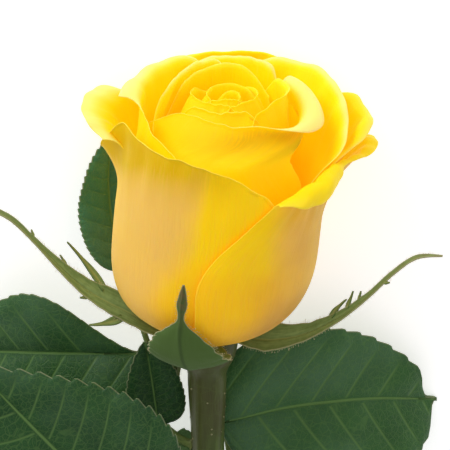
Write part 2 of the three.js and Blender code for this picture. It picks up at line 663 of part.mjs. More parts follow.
function leafletGrid({ base, tip, facing, width, arch, teeth }) {
  const start = new THREE.Vector3(...base);
  const axis = new THREE.Vector3(...tip).sub(start);
  const ahead = axis.clone().normalize();
  const side = ahead.clone().cross(new THREE.Vector3(...facing)).normalize();
  const up = side.clone().cross(ahead);
  const rows = [];
  for (let k = 0; k < teeth; k++) {
    rows.push({ t: k / teeth, tooth: -TOOTH_DEPTH });
    rows.push({ t: (k + TOOTH_PEAK) / teeth, tooth: TOOTH_DEPTH });
  }
  rows.push({ t: 1, tooth: 0 });
  const columns = width > BROAD_WIDTH ? [-1, -0.5, 0, 0.5, 1] : [-1, 0, 1];
  return rows.map(({ t, tooth }) => {
    const halfWidth = Math.max(width * leafletShape(t), TIP_HALF_WIDTH);
    return columns.map((across) => {
      const atEdge = Math.abs(across) === 1 ? 1 + tooth : 1;
      const point = start.clone().addScaledVector(axis, t).addScaledVector(side, halfWidth * across * atEdge);
      const foldRise = BLADE_FOLD * halfWidth * Math.abs(across) * (2 - Math.abs(across));
      return point.addScaledVector(up, arch * Math.sin(Math.PI * t) + foldRise);
    });
  });
}

// The stalk's root: square to the stem, a gap away from its bark, then out and up
function stalkRoot(height, azimuth) {
  const angle = THREE.MathUtils.degToRad(azimuth);
  const out = new THREE.Vector3(Math.cos(angle), Math.sin(angle), 0);
  const seat = stemPoint(height).addScaledVector(out, stemRadius(height) + STALK_GAP);
  return [seat, seat.clone().addScaledVector(out, STALK_RISE[0]).addScaledVector(UP, STALK_RISE[1])];
}

function stalkGeometry(points, rootRadius, tipRadius, steps) {
  const curve = new THREE.CatmullRomCurve3(points);
  return roundGeometry(evenly(steps).map((t) => (
    { at: curve.getPoint(t), radius: THREE.MathUtils.lerp(rootRadius, tipRadius, t) }
  )), STALK_SIDES);
}

function leafGeometry({ height, azimuth, stalk, leaflets }) {
  const points = stalkRoot(height, azimuth).concat(stalk.map((point) => new THREE.Vector3(...point)));
  const parts = [stalkGeometry(points, STALK_ROOT_RADIUS, STALK_TIP_RADIUS, 7)];
  leaflets.forEach((leaflet) => {
    parts.push(bladeGeometry(leafletGrid(leaflet), BLADE_THICKNESS));
    if (!leaflet.from) return;
    const start = new THREE.Vector3(...leaflet.from);
    const end = new THREE.Vector3(...leaflet.base).lerp(new THREE.Vector3(...leaflet.tip), 0.03);
    parts.push(stalkGeometry([start, end], STALK_TIP_RADIUS, STALK_TIP_RADIUS * 0.8, 1));
  });
  return fused(parts);
}

LEAVES.forEach((leaf) => addPiece(leaf.name, leafGeometry(leaf), leafFinish()));

// The rose laid down: the bloom towards +Y, its front up, the zero point where the bloom's rim rests

const REST_ASIDE = 3.4;
const REST_AHEAD = 45.6;

const rose = new THREE.Group();
flower.rotation.x = LYING_TILT - Math.PI / 2;
flower.position.set(-REST_ASIDE, -REST_AHEAD, BASE_LIFT);
rose.add(flower);

export default rose;
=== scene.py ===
"""A cut yellow rose lying on a pale surface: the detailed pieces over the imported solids.

Sizes in the classes are millimetres in the rose's own upright frame (x right, y to the back, z up the stem,
zero where the petals sit on the hip). Lying turns them into metres in the part's frame.
"""

import logging
import math
from dataclasses import dataclass, field
from enum import Enum
from typing import Any, Optional, Sequence, Union

import bpy
import numpy as np
from mathutils import Matrix, Vector


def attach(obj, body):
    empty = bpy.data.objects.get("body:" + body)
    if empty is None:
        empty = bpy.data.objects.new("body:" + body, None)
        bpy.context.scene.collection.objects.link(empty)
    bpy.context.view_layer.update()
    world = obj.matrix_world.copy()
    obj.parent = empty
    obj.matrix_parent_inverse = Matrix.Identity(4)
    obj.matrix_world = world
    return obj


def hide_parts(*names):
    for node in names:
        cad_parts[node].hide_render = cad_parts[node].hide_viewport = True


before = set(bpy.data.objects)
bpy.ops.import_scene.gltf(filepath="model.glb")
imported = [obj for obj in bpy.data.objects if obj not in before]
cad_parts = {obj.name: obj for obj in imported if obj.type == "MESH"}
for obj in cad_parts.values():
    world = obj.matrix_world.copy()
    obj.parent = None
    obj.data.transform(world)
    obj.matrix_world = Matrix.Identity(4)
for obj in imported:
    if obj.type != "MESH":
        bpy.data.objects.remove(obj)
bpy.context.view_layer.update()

LOG = logging.getLogger("rose")
MM = 0.001
LEAN = 0.0875
Array = np.ndarray
Number = Union[float, Array]
Colour = tuple[float, float, float]
Site = tuple[Vector, Matrix, float]


# Curves, waves and places

def along(values: Sequence[float], t: Number) -> Array:
    """Value at t of a smooth curve through evenly spaced values.

    Args:
        values: The values, evenly spaced from t = 0 to t = 1.
        t: Place or places on the curve.

    Returns:
        The curve's value at each place.
    """
    knots = np.asarray(values, dtype=float)
    last = len(knots) - 1
    place = np.clip(t, 0.0, 1.0) * last
    i = np.minimum(np.floor(place).astype(int), last - 1)
    f = place - i
    a, b = knots[np.maximum(i - 1, 0)], knots[i]
    c, d = knots[i + 1], knots[np.minimum(i + 2, last)]
    slope_b, slope_c = (c - a) / 2, (d - b) / 2
    f2, f3 = f * f, f ** 3
    from_b = (2 * f3 - 3 * f2 + 1) * b + (f3 - 2 * f2 + f) * slope_b
    return from_b + (3 * f2 - 2 * f3) * c + (f3 - f2) * slope_c


def smooth(low: float, high: float, x: Number) -> Array:
    """Soft step from 0 at low to 1 at high."""
    s = np.clip((np.asarray(x, dtype=float) - low) / (high - low), 0.0, 1.0)
    return s * s * (3 - 2 * s)


def bump(x: Number, centre: float, width: float) -> Array:
    """Bell of height 1 round a centre."""
    return np.exp(-(((np.asarray(x, dtype=float) - centre) / width) ** 2))


def ray(degrees: Number) -> Array:
    """Level direction of length 1 at an azimuth (0 right, 90 back)."""
    angle = np.radians(degrees)
    return np.stack([np.cos(angle), np.sin(angle), 0.0 * angle], axis=-1)


def vec(values: Sequence[float]) -> Array:
    """Numbers as an array of floats."""
    return np.array(values, dtype=float)


def travelled(points: Array) -> Array:
    """Distance along a line at each of its points."""
    return np.concatenate([[0.0], np.cumsum(np.linalg.norm(np.diff(points, axis=0), axis=-1))])


def waves(seed: int, u: Array, v: Array, count: int = 7) -> Array:
    """Seeded sum of soft waves over two coordinates, about -1 to 1.

    Args:
        seed: Seed of the random directions and phases.
        u: First coordinate, about one wave a unit.
        v: Second coordinate.
        count: Number of waves.

    Returns:
        The waves' height at each place.
    """
    rng = np.random.default_rng(seed)
    total = np.zeros(np.broadcast(u, v).shape)
    for _ in range(count):
        turn, phase = rng.uniform(0, 2 * math.pi, 2)
        pitch = rng.uniform(0.6, 1.6)
        total = total + np.cos(2 * math.pi * pitch * (u * math.cos(turn) + v * math.sin(turn)) + phase)
    return total / math.sqrt(count * 2)


@dataclass(frozen=True)
class Lying:
    """How the upright rose is laid on the surface, bloom towards +Y and front up."""

    tilt: float = math.radians(4.35)
    stem_length: float = 230.0
    stem_radius: float = 3.3
    aside: float = 3.4
    ahead: float = 45.6
    clearance: float = 0.02

    @property
    def lift(self) -> float:
        """Height of the rose's zero point over the surface."""
        return self.stem_length * math.sin(self.tilt) + self.stem_radius * math.cos(self.tilt)

    def turn(self, vectors: Array) -> Array:
        """Directions of the upright rose as directions in the part's frame."""
        s, c = math.sin(self.tilt), math.cos(self.tilt)
        x, y, z = vectors[..., 0], vectors[..., 1], vectors[..., 2]
        return np.stack([x, y * s + z * c, z * s - y * c], axis=-1)

    def place(self, points: Array) -> Array:
        """Points of the upright rose, in millimetres, as points in the part's frame, in metres."""
        return (self.turn(points) + np.array([-self.aside, -self.ahead, self.lift])) * MM

    def settle(self, points: Array) -> Array:
        """Laid points lifted where they would pass the surface.

        Args:
            points: Points in the part's frame; those that share all but their first index move together.

        Returns:
            The points, none of them lower than the clearance.
        """
        low = np.minimum(points[..., 2].min(axis=0) - self.clearance * MM, 0.0)
        raised = points.copy()
        raised[..., 2] -= low
        return raised


LYING = Lying()


# Materials

class Signal:
    """A number that varies over a surface, as an output socket with Python's operators."""

    def __init__(self, painter: "Painter", socket: bpy.types.NodeSocket) -> None:
        """Keep the socket and the painter whose tree it is in."""
        self.painter = painter
        self.socket = socket

    def _math(self, operation: str, *values: Any) -> "Signal":
        """One Math node over the given values."""
        inputs = {index: value for index, value in enumerate(values)}
        return self.painter.node("ShaderNodeMath", {"operation": operation}, inputs)

    def __add__(self, other: Any) -> "Signal":
        """Sum."""
        return self._math("ADD", self, other)

    __radd__ = __add__

    def __sub__(self, other: Any) -> "Signal":
        """Difference."""
        return self._math("SUBTRACT", self, other)

    def __rsub__(self, other: Any) -> "Signal":
        """Difference, the signal last."""
        return self._math("SUBTRACT", other, self)

    def __mul__(self, other: Any) -> "Signal":
        """Product."""
        return self._math("MULTIPLY", self, other)

    __rmul__ = __mul__

    def __abs__(self) -> "Signal":
        """Size without its sign."""
        return self._math("ABSOLUTE", self)

    def fraction(self) -> "Signal":
        """Part after the point."""
        return self._math("FRACT", self)

    def most(self, other: Any) -> "Signal":
        """The larger of the two."""
        return self._math("MAXIMUM", self, other)

    def step(self, low: float, high: float) -> "Signal":
        """Soft step from 0 at low to 1 at high."""
        settings = {"interpolation_type": "SMOOTHSTEP"}
        inputs = {"Value": self, "From Min": low, "From Max": high, "To Min": 0.0, "To Max": 1.0}
        return self.painter.node("ShaderNodeMapRange", settings, inputs)

    def fall(self, low: float, high: float) -> "Signal":
        """Soft step from 1 at low to 0 at high."""
        return 1 - self.step(low, high)


class Painter:
    """Makes one material's nodes."""

    def __init__(self, name: str) -> None:
        """Start an empty material of the given name."""
        self.material = bpy.data.materials.new(name)
        self.material.use_nodes = True
        self.tree = self.material.node_tree
        self.tree.nodes.clear()

    def node(self, kind: str, settings: Optional[dict[str, Any]] = None,
             inputs: Optional[dict[Any, Any]] = None, output: Any = 0) -> Signal:
        """Add a node.

        Args:
            kind: The node's type.
            settings: Its own settings, such as a Math node's operation, set first.
            inputs: A value or a signal for each socket, by index, identifier or name.
            output: The output that the signal reads, by index or name.

        Returns:
            The chosen output.
        """
        made = self.tree.nodes.new(kind)
        for key, value in (settings or {}).items():
            setattr(made, key, value)
        for key, value in (inputs or {}).items():
            self._feed(self._socket(made, key), value)
        return Signal(self, made.outputs[output] if made.outputs else None)

    @staticmethod
    def _socket(made: bpy.types.Node, key: Any) -> bpy.types.NodeSocket:
        """Find an input by index, identifier or name."""
        if isinstance(key, int):
            return made.inputs[key]
        for socket in made.inputs:
            if socket.identifier == key:
                return socket
        return made.inputs[key]

    def _feed(self, socket: bpy.types.NodeSocket, value: Any) -> None:
        """Link a signal to a socket, or set the socket's value."""
        if isinstance(value, Signal):
            self.tree.links.new(value.socket, socket)
        elif isinstance(value, tuple) and len(value) == 3 and len(socket.default_value) == 4:
            socket.default_value = (*value, 1.0)
        else:
            socket.default_value = value

    def read(self, attribute: str) -> Signal:
        """A number that the piece's mesh carries."""
        return self.node("ShaderNodeAttribute", {"attribute_name": attribute}, output="Fac")

    def place(self) -> Signal:
        """Object coordinates, in metres."""
        return self.node("ShaderNodeTexCoord", output="Object")

    def vector(self, x: Any, y: Any) -> Signal:
        """A flat vector of two numbers."""
        return self.node("ShaderNodeCombineXYZ", inputs={"X": x, "Y": y})

    def noise(self, vector: Signal, scale: float, detail: float = 3.0, roughness: float = 0.55) -> Signal:
        """Soft noise, about 0.3 to 0.7.

        Args:
            vector: Where it is read.
            scale: Grains a unit.
            detail: Octaves.
            roughness: Share of the finer octaves.

        Returns:
            The noise.
        """
        inputs = {"Vector": vector, "Scale": scale, "Detail": detail, "Roughness": roughness}
        return self.node("ShaderNodeTexNoise", inputs=inputs)

    def cells(self, vector: Signal, scale: float) -> Signal:
        """Distance to the nearest wall of a network of cells."""
        return self.node("ShaderNodeTexVoronoi", {"feature": "DISTANCE_TO_EDGE"},
                         {"Vector": vector, "Scale": scale}, output="Distance")

    def blend(self, factor: Any, first: Any, second: Any) -> Signal:
        """Colour between two colours."""
        return self.node("ShaderNodeMix", {"data_type": "RGBA"},
                         {"Factor_Float": factor, "A_Color": first, "B_Color": second}, output=2)

    def relief(self, height: Signal, depth: float, strength: float) -> Signal:
        """Normal of a relief whose unit of height is the given depth in metres."""
        return self.node("ShaderNodeBump", inputs={"Height": height, "Distance": depth, "Strength": strength})

    def surface(self, inputs: dict[str, Any]) -> bpy.types.Material:
        """Finish the material with one surface shader.

        Args:
            inputs: Values and signals of the surface shader's sockets.

        Returns:
            The finished material.
        """
        shader = self.node("ShaderNodeBsdfPrincipled", inputs=inputs)
        self.node("ShaderNodeOutputMaterial", inputs={"Surface": shader})
        return self.material


# Finishes

@dataclass(frozen=True)
class PetalFinish:
    """Living petal: a saturated inner face and a tanned outer face, with painted highlights on rolled margins
    and along the thin edge, painted shade deep in the cup, under rims and on shaded petals, and a painted glow.

    The spans are heights in millimetres over which a tone fades, and the grains are noise scales in metres.
    """

    name: str
    face: Colour = (1.0, 0.68, 0.001)
    # deep: colour of the painted shade low in the cup.
    deep: Colour = (1.0, 0.53, 0.0)
    # pale: colour of the painted highlight on rolled rims, also used for fine pale mottling.
    pale: Colour = (0.93, 0.77, 0.19)
    back: Colour = (1.0, 0.65, 0.004)
    back_low: Colour = (0.98, 0.55, 0.008)
    # shade: colour of the painted shade on petals turned from the light and near their foot.
    shade: Colour = (0.46, 0.25, 0.04)
    tan: Colour = (0.75, 0.465, 0.105)
    blush: Colour = (0.74, 0.38, 0.08)
    # olive: colour of the painted shade under overhanging rims and in creases.
    olive: Colour = (0.60, 0.40, 0.001)
    # edge: colour of the painted highlight along the very margin, whose strength is rim.
    edge: Colour = (1.0, 0.82, 0.16)
    glow: float = 0.3
    # light: strength of a painted glow, the petal giving off its own colour to stand in for light shining
    # through it.
    light: float = 0.16
    rim: float = 0.12
    deep_span: tuple[float, float] = (22.0, 42.0)
    low_span: tuple[float, float] = (6.0, 36.0)
    thread_span: tuple[float, float] = (26.0, 44.0)
    cloud_grain: float = 90.0
    dust_grain: float = 55.0
    relief_depth: float = 0.00012

    def material(self) -> bpy.types.Material:
        """Build the petal's material, which reads the numbers that the petal's mesh carries."""
        p = Painter(self.name)
        height, margin, outside = p.read("height"), p.read("margin"), p.read("outside")
        fold, across, run = p.read("fold"), p.read("across"), p.read("run")
        fine = p.noise(p.vector(across * 1.6, run * 0.12), 1.4, 4.0, 0.6)
        threads = abs(p.noise(p.vector(across * 1.1, run * 0.05), 1.2, 2.0) - 0.5).fall(0.0, 0.045)
        threads = threads * height.fall(*self.thread_span)
        cloud = p.noise(p.place(), self.cloud_grain, 2.0)
        # Painted shade: deeper orange lower in the cup, broken by cloudy noise.
        deep = (height.fall(*self.deep_span) * 0.9 + (cloud - 0.5) * 0.8).step(0.15, 1.1)
        inner = p.blend(deep, self.face, self.deep)
        # Painted highlight: pale where the margin rolls past the crest towards the light, and faintly near the
        # margin.
        rolled = (fold.step(0.1, 0.7) * 0.85 + margin.fall(0.2, 3.2) * 0.12).step(0.0, 1.0)
        inner = p.blend(rolled, inner, self.pale)
        low = (height.fall(*self.low_span) + (cloud - 0.5) * 1.2).step(0.1, 1.0)
        outer = p.blend(low, self.back, self.back_low)
        dusty = (p.read("blush") + (p.noise(p.place(), self.dust_grain, 3.0) - 0.5) * 0.7).step(0.25, 1.0)
        outer = p.blend(dusty * 0.9, outer, self.tan)
        outer = p.blend(threads * 0.1, outer, self.blush)
        # Painted shade: darker towards one side of petals turned from the light, and towards the foot of every
        # petal.
        outer = p.blend(p.read("dusk") * (0.55 + (cloud - 0.5)), outer, self.shade)
        # Painted shade: olive darkening under overhanging rims and in creases.
        outer = p.blend(p.read("olive") * (0.75 + (fine - 0.5)), outer, self.olive)
        colour = p.blend(outside, inner, outer)
        colour = p.blend((fine - 0.5) * 0.25, colour, self.pale)
        # Painted highlight: a thin pale line along the very margin, where the rim is seen edge-on.
        colour = p.blend(margin.fall(0.05, 0.4) * self.rim, colour, self.edge)
        crepe = p.noise(p.vector(across * 3.4, run * 0.9), 1.6, 3.0)
        return p.surface({
            "Base Color": colour,
            "Roughness": 0.5 + (fine - 0.5) * 0.5 + outside * 0.08,
            "Normal": p.relief(fine * 0.6 + threads * 0.5 + crepe * 0.35, self.relief_depth, 0.55),
            "Subsurface Weight": self.glow,
            "Subsurface Radius": (1.0, 0.55, 0.06),
            "Subsurface Scale": 0.003,
            # Painted glow: emission in the petal's own colour stands in for light passing through the petal.
            "Emission Color": colour,
            "Emission Strength": self.light,
            "Sheen Weight": 0.02,
            "Sheen Roughness": 0.45,
            "Specular IOR Level": 0.1,
        })


@dataclass(frozen=True)
class LeafFinish:
    """Waxy blade: dark green over pale veins with patches of painted sheen, duller and lighter beneath."""

    name: str
    green: Colour = (0.012, 0.060, 0.014)
    light: Colour = (0.034, 0.118, 0.026)
    cool: Colour = (0.050, 0.26, 0.16)
    vein: Colour = (0.15, 0.27, 0.07)
    under: Colour = (0.085, 0.16, 0.055)
    # sheen: colour of the painted sheen patches on the upper face.
    sheen: Colour = (0.090, 0.185, 0.100)
    margin_tint: Colour = (0.34, 0.36, 0.20)
    vein_strength: float = 0.7
    net_scale: float = 0.75
    mesh_scale: float = 2.2
    sheen_grain: float = 45.0
    relief_depth: float = 0.00025

    def material(self) -> bpy.types.Material:
        """Build the blade's material, which reads the numbers that the blade's mesh carries."""
        p = Painter(self.name)
        phase, wide, run = p.read("vein"), p.read("wide"), p.read("run")
        margin, outside, rib = p.read("margin"), p.read("outside"), p.read("rib")
        side_vein = abs(phase.fraction() - 0.5).fall(0.0, 0.09) * rib.step(0.0, 1.2) * margin.step(0.0, 6.0)
        side_vein = side_vein * 0.7
        mid_vein = rib.fall(0.15, 0.55)
        blade = p.vector(wide, run)
        warped = p.vector(wide + p.noise(blade, 0.6) * 0.8, run + p.noise(blade, 0.7) * 0.8)
        net = p.cells(warped, self.net_scale).fall(0.0, 0.09)
        mesh = p.cells(warped, self.mesh_scale).fall(0.0, 0.11)
        cloud = p.noise(blade, 0.11, 3.0)
        veins = side_vein.most(mid_vein).most(net * 0.35).most(mesh * 0.2)
        colour = p.blend((cloud - 0.5) * 1.8 + 0.4 + p.read("tone") * 0.5, self.green, self.light)
        colour = p.blend((p.read("tone") - 1.0) * 0.8, colour, self.cool)
        # Painted sheen: patches of lighter bluish green where noise and the leaflet's gloss are high; bloom
        # here is painted sheen, not a waxy coating.
        bloom = (p.noise(p.place(), self.sheen_grain, 2.0) + p.read("gloss") * 0.3).step(0.5, 0.78)
        colour = p.blend(bloom * (1 - veins) * 0.55, colour, self.sheen)
        colour = p.blend(veins * self.vein_strength, colour, self.vein)
        colour = p.blend(margin.fall(0.05, 0.3) * 0.6, colour, self.margin_tint)
        beneath = p.blend(veins * 0.5, self.under, self.vein)
        colour = p.blend(outside, colour, beneath)
        height = (1 - veins) * 0.7 + p.noise(blade, 3.0, 3.0) * 0.4
        return p.surface({
            "Base Color": colour,
            "Roughness": 0.42 + (cloud - 0.5) * 0.3 + veins * 0.1 + outside * 0.2,
            "Normal": p.relief(height, self.relief_depth, 0.8),
            "Specular IOR Level": 0.22,
            "Sheen Weight": 0.02,
            "Sheen Roughness": 0.5,
            "Subsurface Weight": 0.05,
            "Subsurface Radius": (0.4, 0.8, 0.2),
            "Subsurface Scale": 0.0008,
        })


@dataclass(frozen=True)
class SepalFinish:
    """Sepal: grey-green with lengthwise veins, deeper at its edges and cream on the very rim."""

    name: str
    face: Colour = (0.29, 0.41, 0.15)
    dark: Colour = (0.075, 0.14, 0.030)
    under: Colour = (0.068, 0.125, 0.024)
    shade: Colour = (0.028, 0.055, 0.012)
    vein: Colour = (0.42, 0.46, 0.15)
    cream: Colour = (0.50, 0.48, 0.27)
    flush: Colour = (0.23, 0.10, 0.05)
    relief_depth: float = 0.00015

    def material(self) -> bpy.types.Material:
        """Build the sepal's material."""
        p = Painter(self.name)
        wide, run = p.read("wide"), p.read("run")
        margin, outside = p.read("margin"), p.read("outside")
        streaks = p.noise(p.vector(wide * 2.4, run * 0.16), 1.5, 3.0)
        mottle = p.noise(p.vector(wide, run), 0.8, 3.0)
        face = p.blend(outside, self.face, self.under)
        colour = p.blend((streaks - 0.5) * 1.3 + (mottle - 0.5) * 0.8 + 0.2, face, self.dark)
        midrib = p.blend(outside, self.vein, self.shade)
        colour = p.blend(abs(wide).fall(0.05, 0.5) * 0.55, colour, midrib)
        colour = p.blend(margin.fall(0.3, 1.6) * 0.35, colour, self.dark)
        colour = p.blend(margin.fall(0.04, 0.22) * 0.6, colour, self.cream)
        colour = p.blend(p.read("flush") * mottle.step(0.3, 0.6), colour, self.flush)
        return p.surface({
            "Base Color": colour,
            "Roughness": 0.62 + (mottle - 0.5) * 0.3,
            "Normal": p.relief(streaks * 0.6 + mottle * 0.5, self.relief_depth, 0.6),
            "Sheen Weight": 0.04,
            "Sheen Roughness": 0.5,
            "Specular IOR Level": 0.15,
        })


@dataclass(frozen=True)
class StemFinish:
    """Bark of the stem and hip: olive green with a red-brown tint near the bloom, a pale pith at the cut."""

    name: str
    green: Colour = (0.055, 0.085, 0.016)
    light: Colour = (0.095, 0.145, 0.030)
    brown: Colour = (0.060, 0.042, 0.014)
    pith: Colour = (0.55, 0.58, 0.36)
    cloud_grain: float = 60.0
    relief_depth: float = 0.0002

    def material(self) -> bpy.types.Material:
        """Build the bark's material."""
        p = Painter(self.name)
        around, run, cut = p.read("around"), p.read("run"), p.read("cut")
        grain = p.noise(p.vector(around * 3.0, run * 0.09), 1.3, 4.0)
        cloud = p.noise(p.place(), self.cloud_grain, 3.0)
        colour = p.blend((grain - 0.5) * 2.0 + 0.3, self.green, self.light)
        tint = (run.fall(18.0, 60.0) * 0.55 + (cloud - 0.5) * 1.4).step(0.05, 0.8)
        colour = p.blend(tint * 0.7, colour, self.brown)
        cracks = p.cells(p.vector(around * 1.1, run * 0.4), 0.9).fall(0.0, 0.05)
        colour = p.blend(cracks * 0.2, colour, self.light)
        colour = p.blend(cut, colour, self.pith)
        return p.surface({
            "Base Color": colour,
            "Roughness": 0.4 + (cloud - 0.5) * 0.4 + cut * 0.2,
            "Normal": p.relief(grain + cloud * 0.3, self.relief_depth, 0.6),
            "Specular IOR Level": 0.25,
        })


@dataclass(frozen=True)
class SpeckFinish:
    """Small outgrowth: prickle, gland, hair or cork spot, from its root's colour to its tip's."""

    name: str
    root: Colour
    tip: Colour
    roughness: float = 0.45
    spot_grain: float = 1400.0
    relief_depth: float = 0.0001

    def material(self) -> bpy.types.Material:
        """Build the outgrowth's material."""
        p = Painter(self.name)
        spots = p.noise(p.place(), self.spot_grain, 2.0)
        colour = p.blend((p.read("reach") + (spots - 0.5) * 0.5).step(0.1, 0.9), self.root, self.tip)
        return p.surface({
            "Base Color": colour,
            "Roughness": self.roughness + (spots - 0.5) * 0.2,
            "Normal": p.relief(spots, self.relief_depth, 0.4),
        })


@dataclass(frozen=True)
class FloorFinish:
    """Matte white surface under the rose."""

    name: str = "floor_paper"
    colour: Colour = (0.93, 0.93, 0.93)
    mottle: Colour = (0.9, 0.9, 0.9)
    light: float = 0.55

    def material(self) -> bpy.types.Material:
        """Build the floor's material."""
        p = Painter(self.name)
        tone = p.noise(p.place(), 30.0, 2.0)
        colour = p.blend(tone * 0.02, self.colour, self.mottle)
        return p.surface({
            "Base Color": colour,
            "Roughness": 0.8,
            "Specular IOR Level": 0.1,
            "Emission Color": colour,
            "Emission Strength": self.light,
        })


# Closed shells

def unit(vectors: Array) -> Array:
    """Vectors of length 1."""
    return vectors / np.maximum(np.linalg.norm(vectors, axis=-1, keepdims=True), 1e-12)


def grid_normals(points: Array) -> Array:
    """Unit normals of a grid of points: along its rows times up its columns."""
    return unit(np.cross(np.gradient(points, axis=1), np.gradient(points, axis=0)))


@dataclass
class Shell:
    """Closed surface in the part's frame, with the numbers that its material reads."""

    points: Array
    faces: list[list[int]]
    numbers: dict[str, Array]
    finish: int = 0

    @staticmethod
    def blade(middle: Array, thickness: Number, numbers: dict[str, Array], finish: int = 0) -> "Shell":
        """Thin blade of two faces round a grid of middle points.

        Args:
            middle: Rows x columns x 3 middle points, in millimetres in the upright rose's frame.
            thickness: Thickness at each point, in millimetres.
            numbers: The numbers at each point, or in any shape that spreads over the grid; "outside" is added,
                1 on the face along the normals.
            finish: Index of its material on the piece.

        Returns:
            The blade, laid on the surface.
        """
        rows, columns = middle.shape[:2]
        half = np.broadcast_to(np.asarray(thickness, dtype=float), (rows, columns))[..., None] / 2
        offset = grid_normals(middle) * half
        pair = LYING.settle(LYING.place(np.stack([middle + offset, middle - offset])))
        index = np.arange(rows * columns).reshape(rows, columns)
        a, b, c, d = index[:-1, :-1], index[:-1, 1:], index[1:, 1:], index[1:, :-1]
        far = rows * columns
        front = np.stack([a, b, c, d], axis=-1).reshape(-1, 4)
        back = np.stack([a, d, c, b], axis=-1).reshape(-1, 4) + far
        rim = np.concatenate([index[0, :-1], index[:-1, -1], index[-1, :0:-1], index[:0:-1, 0]])
        following = np.roll(rim, -1)
        side = np.stack([rim, rim + far, following + far, following], axis=-1)
        spread = {key: np.broadcast_to(value, (rows, columns)).ravel() for key, value in numbers.items()}
        doubled = {key: np.tile(value, 2) for key, value in spread.items()}
        doubled["outside"] = np.repeat([1.0, 0.0], far)
        return Shell(pair.reshape(-1, 3), np.concatenate([front, back, side]).tolist(), doubled, finish)

    @staticmethod
    def tube(centres: Array, radii: Array, sides: int, numbers: dict[str, Array], finish: int = 0) -> "Shell":
        """Round closed tube along a line.

        Args:
            centres: The line's points, in millimetres in the upright rose's frame.
            radii: Radius at each point, or at each point and side.
            sides: Sides of the tube.
            numbers: Numbers at each point of the line; "around" and "cut" are added.
            finish: Index of its material on the piece.

        Returns:
            The tube, laid on the surface, with flat ends.
        """
        count = len(centres)
        ahead = unit(np.gradient(centres, axis=0))
        across = np.zeros_like(centres)
        previous = np.array([1.0, 0.0, 0.0])
        for i, direction in enumerate(ahead):
            previous = unit(previous - direction * previous.dot(direction))
            across[i] = previous
        other = np.cross(ahead, across)
        angle = np.linspace(0, 2 * math.pi, sides, endpoint=False)
        reach = np.broadcast_to(np.asarray(radii, dtype=float).reshape(count, -1), (count, sides))[..., None]
        ring = across[:, None] * np.cos(angle)[:, None] + other[:, None] * np.sin(angle)[:, None]
        body = centres[:, None] + ring * reach
        ends = [centres[0][None], body[0], body[-1], centres[-1][None]]
        points = np.concatenate([body.reshape(-1, 3)] + ends)
        index = np.arange(count * sides).reshape(count, sides)
        a, b = index[:-1], np.roll(index, -1, axis=1)[:-1]
        c, d = np.roll(index, -1, axis=1)[1:], index[1:]
        faces = np.stack([a, b, c, d], axis=-1).reshape(-1, 4).tolist()
        first = count * sides
        for k in range(sides):
            after = (k + 1) % sides
            faces.append([first, first + 1 + after, first + 1 + k])
            faces.append([first + 1 + 2 * sides, first + 1 + sides + k, first + 1 + sides + after])
        caps = [np.zeros(sides + 1, dtype=int), np.full(sides + 1, count - 1)]
        station = np.concatenate([np.repeat(np.arange(count), sides)] + caps)
        spread = {key: np.asarray(value, dtype=float)[station] for key, value in numbers.items()}
        turn = np.abs(angle - math.pi)
        spread["around"] = np.concatenate([np.tile(turn, count), [0.0], turn, turn, [0.0]])
        spread["cut"] = np.concatenate([np.zeros(first), [1.0], np.full(sides, 0.25), np.zeros(sides + 1)])
        laid = LYING.settle(LYING.place(points)[None])[0]
        return Shell(laid, faces, spread, finish)

    @staticmethod
    def joined(shells: Sequence["Shell"]) -> tuple["Shell", list[int]]:
        """Several shells as one, with the material index of each face."""
        faces: list[list[int]] = []
        marks: list[int] = []
        start = 0
        for shell in shells:
            faces.extend([[start + i for i in face] for face in shell.faces])
            marks.extend([shell.finish] * len(shell.faces))
            start += len(shell.points)
        numbers = {}
        for key in sorted({key for shell in shells for key in shell.numbers}):
            parts = [shell.numbers.get(key, np.zeros(len(shell.points))) for shell in shells]
            numbers[key] = np.concatenate(parts)
        return Shell(np.concatenate([shell.points for shell in shells]), faces, numbers), marks


def stand(name: str, data: Any) -> bpy.types.Object:
    """Make an object of a mesh, a light or a camera, at the origin and in the scene."""
    made = bpy.data.objects.new(name, data)
    bpy.context.scene.collection.objects.link(made)
    return made


def make_piece(name: str, shells: Sequence[Shell], materials: Sequence[bpy.types.Material]) -> bpy.types.Object:
    """Make one mesh object of closed shells.

    Args:
        name: The piece's name.
        shells: Its shells.
        materials: Its materials, in the order of the shells' finish indices.

    Returns:
        The object, at the origin and linked to the scene.
    """
    whole, marks = Shell.joined(shells)
    mesh = bpy.data.meshes.new(name)
    mesh.from_pydata(whole.points.tolist(), [], whole.faces)
    for key, value in whole.numbers.items():
        layer = mesh.attributes.new(key, "FLOAT", "POINT")
        layer.data.foreach_set("value", value.astype(np.float32))
    for material in materials:
        mesh.materials.append(material)
    mesh.polygons.foreach_set("material_index", marks)
    mesh.shade_smooth()
    mesh.update()
    return stand(name, mesh)


def fit_piece(piece: bpy.types.Object, slot: str, *nodes: str) -> None:
    """Tie a piece to the part.

    Args:
        piece: The finished piece.
        slot: The record's material slot named for the piece; not used.
        nodes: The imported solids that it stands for.
    """
    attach(piece, "root")
    for node in nodes:
        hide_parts(node)
    LOG.info("%s: %d points", piece.name, len(piece.data.vertices))


# Bloom

class Tone(Enum):
    """The petals' two finishes."""

    OUTER = "petal_outer"
    INNER = "petal_inner"


